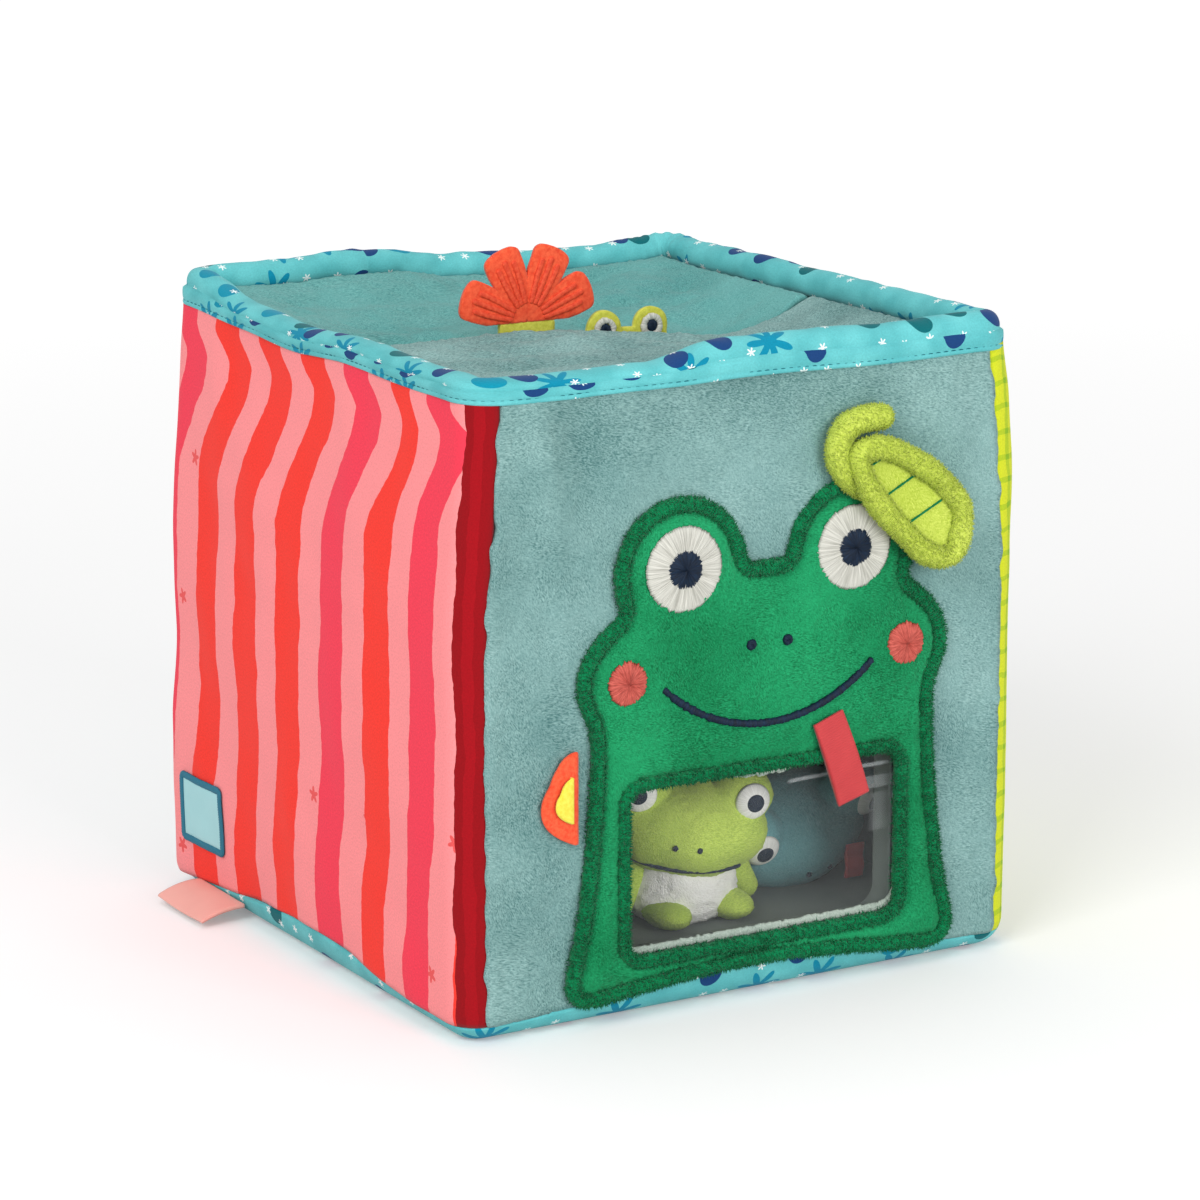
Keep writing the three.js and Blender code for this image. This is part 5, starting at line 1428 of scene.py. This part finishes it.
# %% Flower
felt_front = 1 * mm
behind = np.array([0, 1.0, 0.1])
stem_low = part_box("flower_stem")[0].z
stem = np.array([[-27, stem_low / mm], [-9, stem_low / mm], [-9, 182.4], [-27, 182.4]]) * mm
flat, deep, faces = cut_sheet(even(stem, 0.8 * mm, True), 0.8 * mm)
piece("flower_stem_felt", standing(flat, felt_front + 0.1 * mm * waves(flat, 6 * mm, 101)), faces,
      "lime_felt", ["flower_stem"], "flower", outward=behind, thickness=1.9 * mm)
petal_root = np.array([-18, 182.3]) * mm
long, half, root = 23 * mm, 6.0 * mm, 2.5 * mm
shoulder = long - half / 2
petal = np.vstack([bezier((0, -root), (long / 2, -half), (shoulder, -half)),
                   bezier((shoulder, -half), (long, -half), (long, 0)),
                   bezier((long, 0), (long, half), (shoulder, half)),
                   bezier((shoulder, half), (long / 2, half), (0, root))])
petals = []
for k, degrees in enumerate((158, 114, 66, 22)):
    a = math.radians(degrees)
    spin = np.array([[math.cos(a), math.sin(a)], [-math.sin(a), math.cos(a)]])
    flat, deep, faces = cut_sheet(even(petal, 0.7 * mm, True), 0.7 * mm)
    flat = flat @ spin + petal_root
    keep = flat[faces][..., 1].max(1) > petal_root[1] - 0.1 * mm
    flat[:, 1] = np.maximum(flat[:, 1], petal_root[1] - 0.3 * mm)
    y = felt_front - 0.25 * mm * smooth(deep / (3 * mm)) + 0.1 * mm * waves(flat, 7 * mm, 103) - 0.03 * mm * k
    petals.append((standing(flat, y), faces[keep], flat))
    for row, offset in enumerate((-2.7, 0, 2.7)):
        line = bezier((5 * mm, offset * 0.45 * mm), (14 * mm, offset * 1.1 * mm),
                      (20 * mm - abs(offset) * 0.5 * mm, offset * mm), 20)
        line = standing(line @ spin + petal_root, felt_front - 0.3 * mm)
        band(f"petal_{k}_ridge_{row}", line, 0.9 * mm, 0.5 * mm, "petal_stitching", body="flower",
             closed=False, jag=0.04, sides=8)
points, petal_faces, cloth = zip(*petals)
starts = np.cumsum([0] + [len(p) for p in points])
faces = np.vstack([f + s for f, s in zip(petal_faces, starts)])
made = piece("flower_petals_felt", np.vstack(points), faces, "coral_felt", ["flower_petals"], "flower",
             cloth_map=np.vstack(cloth), outward=behind, thickness=1.7 * mm)
as_sheet(made)

# %% Felt frog
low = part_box("pond_frog")[0].z
top = 177.5 * mm
x0, wide, eye_out = 16 * mm, 14 * mm, 8 * mm
frog_line = np.vstack([[[x0 - wide, low], [x0 + wide, low]],
                       bezier((x0 + wide, low), (x0 + wide, top), (x0, top), 20),
                       bezier((x0, top), (x0 - wide, top), (x0 - wide, low), 20)])
bump_at = [arc(x0 + s * eye_out, top, 5.6 * mm, 0, 360, 49)[:-1] for s in (-1, 1)]
pitch = 0.7 * mm
xs, zs = np.meshgrid(np.arange(x0 - 16 * mm, x0 + 16 * mm, pitch), np.arange(low - mm, top + 8 * mm, pitch),
                     indexing="ij")
flat = np.stack([xs, zs], -1).reshape(-1, 2)
candidates = [nearest(even(shape, 0.6 * mm, True), flat) for shape in (frog_line, *bump_at)]
far, spot = (np.stack(values) for values in zip(*candidates))
best = far.argmin(0), np.arange(len(flat))
flat, _, faces = trimmed(flat, far[best], spot[best], xs.shape, 0)
felt_y = felt_front + 0.12 * mm * waves(flat, 7 * mm, 111)
piece("pond_frog_felt", standing(flat, felt_y), faces, "lime_felt", ["pond_frog"], "pond_frog",
      outward=behind, thickness=1.8 * mm)
for side, word in ((-1, "left"), (1, "right")):
    eye_x, eye_y = x0 + side * eye_out, felt_front - 0.1 * mm
    ring = arc(eye_x, top, 2.75 * mm, 0, 360, 49)[:-1]
    band(f"pond_{word}_ring", standing(ring, eye_y), 1.0 * mm, 0.9 * mm, "white_stitching",
         [f"pond_frog_{word}_eye"], "pond_frog", sides=10)
    disc(f"pond_{word}_pupil", eye_x, eye_y, top, 1.9 * mm, 0.9 * mm, "navy_stitching", body="pond_frog",
         teeth=16, seed=113 + side)

# %% [markdown]
# ## Inside: pane, lining and boards
# A clear soft sheet is held behind the window. The lining is a grey bag; round the window it turns
# forward through the front board, so no foam shows. The boards are plain slabs.

# %% Pane, boards and lining
inside_half = 81.8 * mm
lining_low, wall_offset = 11.2 * mm, 2.9 * mm
pane_y, board_y, lining_y = -90.1 * mm, -89.2 * mm, -81.7 * mm
flat, deep, faces = cut_sheet(window_outline(6.8 * mm, 2 * mm), 2.5 * mm)
y = pane_y + 0.12 * mm * waves(flat, 30 * mm, 121)
made = piece("pane", standing(flat, y), faces, "clear_vinyl", ["window_pane"], cloth_map=flat,
             thickness=0.45 * mm)
as_sheet(made)


def no_folds(s, z):
    return 0 * (s + z)


def board_low(x, _):
    return np.full(np.shape(x), 13.4 * mm)


# A side board's line runs along y. The back board's runs along x, so its two columns change places.
board_levels, count = np.linspace(0, 1, 20), 24
from_seam = np.full(count, 50 * mm)
for name, sign, half_length, swap in (("left_foam", -1, 82.6, 1), ("right_foam", 1, 82.6, 1),
                                      ("back_foam", 1, 81.6, -1)):
    s = np.linspace(-half_length, half_length, count) * mm
    xy = np.column_stack([np.full(count, sign * half_x), s])[:, ::swap]
    inward = np.column_stack([np.full(count, -sign), 0 * s])[:, ::swap]
    line = (s, xy, inward, 1 - (s / seam_y) ** 2, from_seam)
    points, _ = wall_points(line, board_levels, board_low, no_folds, offset=wall_offset, top=wall_top)
    grid_piece(name + "_board", points, "foam", [name], thickness=7.8 * mm)


def front_panel(half, low, pitch, margin, y):
    """A flat front wall with the window cut out, its points leaned in. Y is a number, or is worked out
    from the points and their depth inside the edge."""
    outline = np.array([[-half, low], [half, low], [half, 174], [-half, 174]]) * mm
    flat, deep, faces = cut_sheet(even(outline, 2 * mm, True), pitch, [window_outline(margin)])
    points = standing(flat, y(flat, deep) if callable(y) else y)
    points[:, 0] *= lean(points[:, 2])
    return points, faces, flat


points, faces, _ = front_panel(81.6, 13.4, 3 * mm, 1.6 * mm, board_y)
piece("front_foam_board", points, faces, "foam", ["front_foam"], thickness=7.0 * mm)
square, _ = rounded_loop(inside_half - 0.2 * mm, inside_half - 0.2 * mm, 5 * mm, 200)
flat, _, faces = cut_sheet(square, 6 * mm)
points = np.column_stack([flat, np.full(len(flat), 3 * mm)])
piece("base_foam_board", points, faces, "foam", ["base_foam"], thickness=7.9 * mm)

loop, _ = rounded_loop(inside_half, inside_half, 3.5 * mm, 320)
order = np.argsort(np.mod(np.arctan2(loop[:, 1], loop[:, 0]) + math.pi / 2, 2 * math.pi))
loop = loop[order]
loop = loop[~((loop[:, 1] < -inside_half + 0.1 * mm) & (np.abs(loop[:, 0]) < inside_half - 4 * mm))]
z = np.linspace(lining_low + 0.1 * mm, wall_top, 60)
points = grid_of(loop[:, :1] * lean(z), loop[:, 1:], z[None, :])
slack = 0.5 * mm * waves(points, 26 * mm, 131)[..., None] - 0.5 * mm
points[..., :2] += slack * unit(points[..., :2])
run = lengths_along(loop)
cloth = grid_of(run[:, None], z[None, :])
made = grid_piece("lining_walls", points, "grey_lining", ["lining"], cloth_map=cloth, thickness=0.8 * mm)
as_sheet(made)


def slack_front(flat, deep):
    return lining_y + (0.3 * mm * waves(flat, 30 * mm, 133) + 0.3 * mm) * smooth(deep / (8 * mm))


points, faces, flat = front_panel(79.8, 11.3, 2 * mm, 0.6 * mm, slack_front)
made = piece("lining_front", points, faces, "grey_lining", cloth_map=flat, thickness=0.8 * mm)
as_sheet(made)
flat, _, faces = cut_sheet(square, 2.2 * mm)
points = np.column_stack([flat, np.full(len(flat), lining_low + 0.1 * mm)])
made = piece("lining_floor", points, faces, "grey_lining", cloth_map=flat, thickness=1.0 * mm)
as_sheet(made)
below, within = 0.7 * mm, 2.6 * mm
lower, _ = rounded_loop(inside_half * lean(wall_top) - below, inside_half - below, 3.5 * mm, 320)
upper, _ = rounded_loop(binding_x - within, binding_y - within, binding_corner - within, 320)
t = np.linspace(0, 1, 10)[None, :, None]
points = lower[:, None] * (1 - t) + upper[:, None] * t
raised = wall_top - 3 * mm + 9.6 * mm * t ** 1.4 + t * rim_rise(upper[:, 0], upper[:, 1])[:, None, None]
points = np.concatenate([points, raised], -1)
run = lengths_along(np.column_stack([lower, 0 * lower[:, 0]]), True)
cloth = grid_of(run[:, None], 11 * mm * t[..., 0])
made = grid_piece("lining_top_edge", points, "grey_lining", closed=(True, False), cloth_map=cloth,
                  thickness=0.6 * mm)
as_sheet(made)
rim = window_outline(1.1 * mm, 1 * mm)
y = np.linspace(board_y, -80.9 * mm, 12)
points = grid_of(rim[:, None, 0], y[None, :], rim[:, None, 1])
run = lengths_along(np.column_stack([rim, 0 * rim[:, 0]]), True)
cloth = grid_of(run[:, None], y[None, :])
grid_piece("lining_tunnel", points, "grey_lining", closed=(True, False), cloth_map=cloth,
           outward=np.array([window_x, -85 * mm, window_z]), thickness=1.0 * mm)

# %% [markdown]
# ## The two stuffed frogs
# Each is sewn from pile cloth and filled: a broad head with two bulbs for the eyes, a body, two arms
# and two feet. A head is given by its distance from the middle in each direction, the soft maximum of
# an ellipsoid's and of the two bulbs' distances. Each eye is a low dome on the front of its bulb. A body
# is a profile turned about an axis, an arm is a capsule and a foot an ellipsoid, and their surfaces are
# made uneven in the same way.

# %% Round shapes
def directions(nu, nv):
    """Unit vectors on a grid: the angle about +z first, from the bottom to the top second."""
    u = np.linspace(0, 2 * math.pi, nu + 1)[:-1, None]
    v = np.linspace(0.02, math.pi - 0.02, nv)[None, :]
    return grid_of(np.cos(u) * np.sin(v), np.sin(u) * np.sin(v), -np.cos(v))


def about(axis, degrees):
    """The matrix of a turn about x, y or z, as the right hand does: the cosine c twice on its diagonal,
    and minus and plus the sine s beside it."""
    c, s = math.cos(math.radians(degrees)), math.sin(math.radians(degrees))
    a, b = ("xyz".index(axis) + 1) % 3, ("xyz".index(axis) + 2) % 3
    turn = np.eye(3)
    turn[[a, a, b, b], [a, b, a, b]] = c, -s, s, c
    return turn


head_size = np.array([25.5, 20.5, 15.5]) * mm
bulb_radius = 9 * mm
belly_radius, belly_length = 17 * mm, 21 * mm


def head_reach(way, bulbs):
    """Distance from a head's middle to its surface in a direction."""
    egg = 1 / np.linalg.norm(way / head_size, axis=-1)
    egg = egg * (1 - 0.06 * way[..., 2])
    found = [egg]
    for bulb in bulbs:
        near = way @ bulb
        room = near ** 2 - bulb @ bulb + bulb_radius ** 2
        found.append(near + np.sqrt(np.maximum(room, 0)) - 60 * mm * np.clip(-room / (10 * mm) ** 2, 0, 1))
    soft = 0.8 * mm
    found = np.stack(found)
    return soft * np.log(np.exp(found / soft).sum(0))


def uneven(points, middle, seed, fluff):
    """Pushes a round shape's points outward and inward by soft waves and by uneven pile."""
    push = 0.35 * mm * waves(points, 12 * mm, seed) + nap(points, seed, fluff)
    return points + (push - fluff)[..., None] * unit(points - middle)


def stuffed(toy, part, points, middle, finish, seed, fluff):
    """A stuffed part of a toy, which replaces the toy's node of the same name."""
    node_name = f"{toy}_{part}"
    made = grid_piece(node_name + "_pile", uneven(points, middle, seed, fluff), finish, [node_name],
                      closed=(True, False), caps=(True, True), body=toy)
    return made


# %% Frogs
body_profile = np.array([[0, 1], [0.6, 0.99], [0.87, 0.97], [0.97, 0.84], [1, 0.62], [0.98, 0.4], [0.93, 0.2],
                         [0.76, 0.02], [0.3, 0]])
steps = lengths_along(body_profile)
at = np.linspace(0, steps[-1], 60)
body_out, body_down = (np.interp(at, steps, body_profile[:, k]) for k in (0, 1))
for line in (body_out, body_down):
    line[2:-2] = np.convolve(line, np.array([1, 2, 3, 2, 1]) / 9, "valid")
body_out[0] = body_out[-1] = 0.02
pile_ends, long_pile_ends = 0.12 * mm, 0.2 * mm
arm_radius, arm_half, arm_out, foot_out = 4.2 * mm, 5.8 * mm, 19.1 * mm, 10.54 * mm


def toy_eye(name, word, side, bulb, at, tilt):
    """An eye and its pupil: two low domes on the bulb. The angle from the gaze grows with the share t of
    the width, and the height over the bulb is base + rise (1 - t to the fourth)."""
    gaze = unit(np.array([side * 0.22, -1.0, 0.06]))
    side_way = unit(np.cross([0, 0, 1.0], gaze))
    up_way = np.cross(gaze, side_way)
    turn_round = np.linspace(0, 2 * math.pi, 49)[:-1, None, None]
    spoke = np.cos(turn_round) * side_way + np.sin(turn_round) * up_way
    shares = np.linspace(0.03, 1, 10)
    t = np.concatenate([shares, [0.9, 0.03]])
    for part, wide, base, rise, finish in (("eye", 5.7, 0.25, 0.75, "toy_white_stitching"),
                                           ("pupil", 2.7, 0.75, 0.7, "navy_stitching")):
        lift = np.concatenate([base + rise * (1 - shares ** 4), [-1.2, -1.2]]) * mm
        away = (t * wide * mm / bulb_radius)[:, None]
        points = bulb + (np.cos(away) * gaze + np.sin(away) * spoke) * (bulb_radius + lift)[:, None]
        grid_piece(f"{name}_{word}_{part}_stitches", points @ tilt.T + at, finish,
                   [f"{name}_{word}_eye"] if part == "eye" else [], closed=(True, False), caps=(True, True),
                   body=name)


def toy_mouth(name, bulbs, at, tilt, seed):
    """Two nostrils and a line of stitches, each where a ray from the head's middle leaves the head."""
    for side in (-1, 1):
        way = unit(np.array([side * 3.4 - 2, -19.0, -1.6]))
        spot = (way * (head_reach(way[None], bulbs)[0] + 0.1 * mm)) @ tilt.T + at
        disc(f"{name}_nostril_{side + 1}", *spot, 0.9 * mm, 0.6 * mm, "navy_stitching", body=name, teeth=12,
             seed=seed + side)
    turn_round = np.radians(np.linspace(-140, -40, 60))
    c, s = np.cos(turn_round), np.sin(turn_round)
    way = unit(np.column_stack([20 * c, 17 * s, -10 + 3.5 * c ** 2]))
    path = (way * (head_reach(way, bulbs)[:, None] - 0.1 * mm)) @ tilt.T + at
    band(name + "_mouth", path, 0.6 * mm, 0.6 * mm, "navy_stitching", body=name, up=tilt @ front,
         closed=False, sides=8)


def toy_frog(name, at, tilt, spread, forward, lying, skin, belly, seed):
    """One stuffed frog. Its head is turned by the matrix tilt. Lying down, its body reaches back from the
    head instead of down."""
    bulbs = [np.array([side * spread, -forward, 11]) * mm for side in (-1, 1)]
    way = directions(120, 80)
    points = (way * head_reach(way, bulbs)[..., None]) @ tilt.T + at
    stuffed(name, "head", points, at, skin, seed, pile_ends)
    deep = belly_radius * 0.82
    turn = about("x", 90 if lying else 0)
    shift = at + np.array([0, 0, 12.7 * mm + deep - at[2] if lying else 0])
    reach = (9.5 if lying else 7.5) * mm

    def sewn_on(part, points, middle, finish, part_seed, fluff=pile_ends):
        """A part of the body, turned as the toy lies and moved to its place."""
        stuffed(name, part, points @ turn.T + shift, middle @ turn.T + shift, finish, part_seed, fluff)

    around = np.linspace(0, 2 * math.pi, 97)[:-1, None]
    points = grid_of(belly_radius * body_out * np.cos(around), deep * body_out * np.sin(around),
                     -reach - belly_length * body_down)
    middle = np.array([0, 0, -reach - belly_length / 2])
    sewn_on("body", points, middle, belly, seed + 1, long_pile_ends if belly == "white_plush" else pile_ends)
    round_way = directions(48, 32)
    for side, word in ((-1, "left"), (1, "right")):
        rod = round_way * arm_radius
        rod[..., 2] += np.sign(round_way[..., 2]) * arm_half
        middle = np.array([side * arm_out, 0, -reach - belly_length / 2])
        sewn_on(word + "_arm", rod @ about("y", -24 * side).T + middle, middle, skin, seed + 2 + side)
        size = np.array([6.5, 4, 9.5] if lying else [6.5, 9.5, 4]) * mm
        foot_y = size[1] - deep if lying else -9.5 * mm
        middle = np.array([side * foot_out, foot_y, size[2] - reach - belly_length])
        sewn_on(word + "_foot", round_way * size + middle, middle, skin, seed + 5 + side)
        toy_eye(name, word, side, bulbs[(side + 1) // 2], at, tilt)
    toy_mouth(name, bulbs, at, tilt, seed + 8)


lime_place, blue_place = np.array([3.5, -50.5, 41.2]) * mm, np.array([51.3, -32, 28.5]) * mm
lime_tilt = about("z", -20) @ about("x", 5) @ about("y", 7)
blue_tilt = about("z", 9) @ about("x", 25) @ about("y", -16)
toy_frog("lime_frog", lime_place, lime_tilt, spread=15.4, forward=5, lying=False, skin="toy_lime_plush",
         belly="white_plush", seed=141)
toy_frog("blue_frog", blue_place, blue_tilt, spread=18.4, forward=7, lying=True, skin="blue_plush",
         belly="blue_plush", seed=151)
low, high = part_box("blue_frog_ribbon")
x = np.linspace(low.x, high.x, 9)[:, None]
z = np.linspace(low.z, high.z, 20)[None, :]
points = grid_of(x, low.y + 0.1 * mm + 0.3 * mm * np.sin(z / mm), z)
grid_piece("blue_frog_tongue", points, "coral_ribbon", ["blue_frog_ribbon"],
           cloth_map=grid_of(x, z), body="blue_frog", thickness=0.9 * mm)

# %% Sizes of what is shown
low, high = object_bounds()
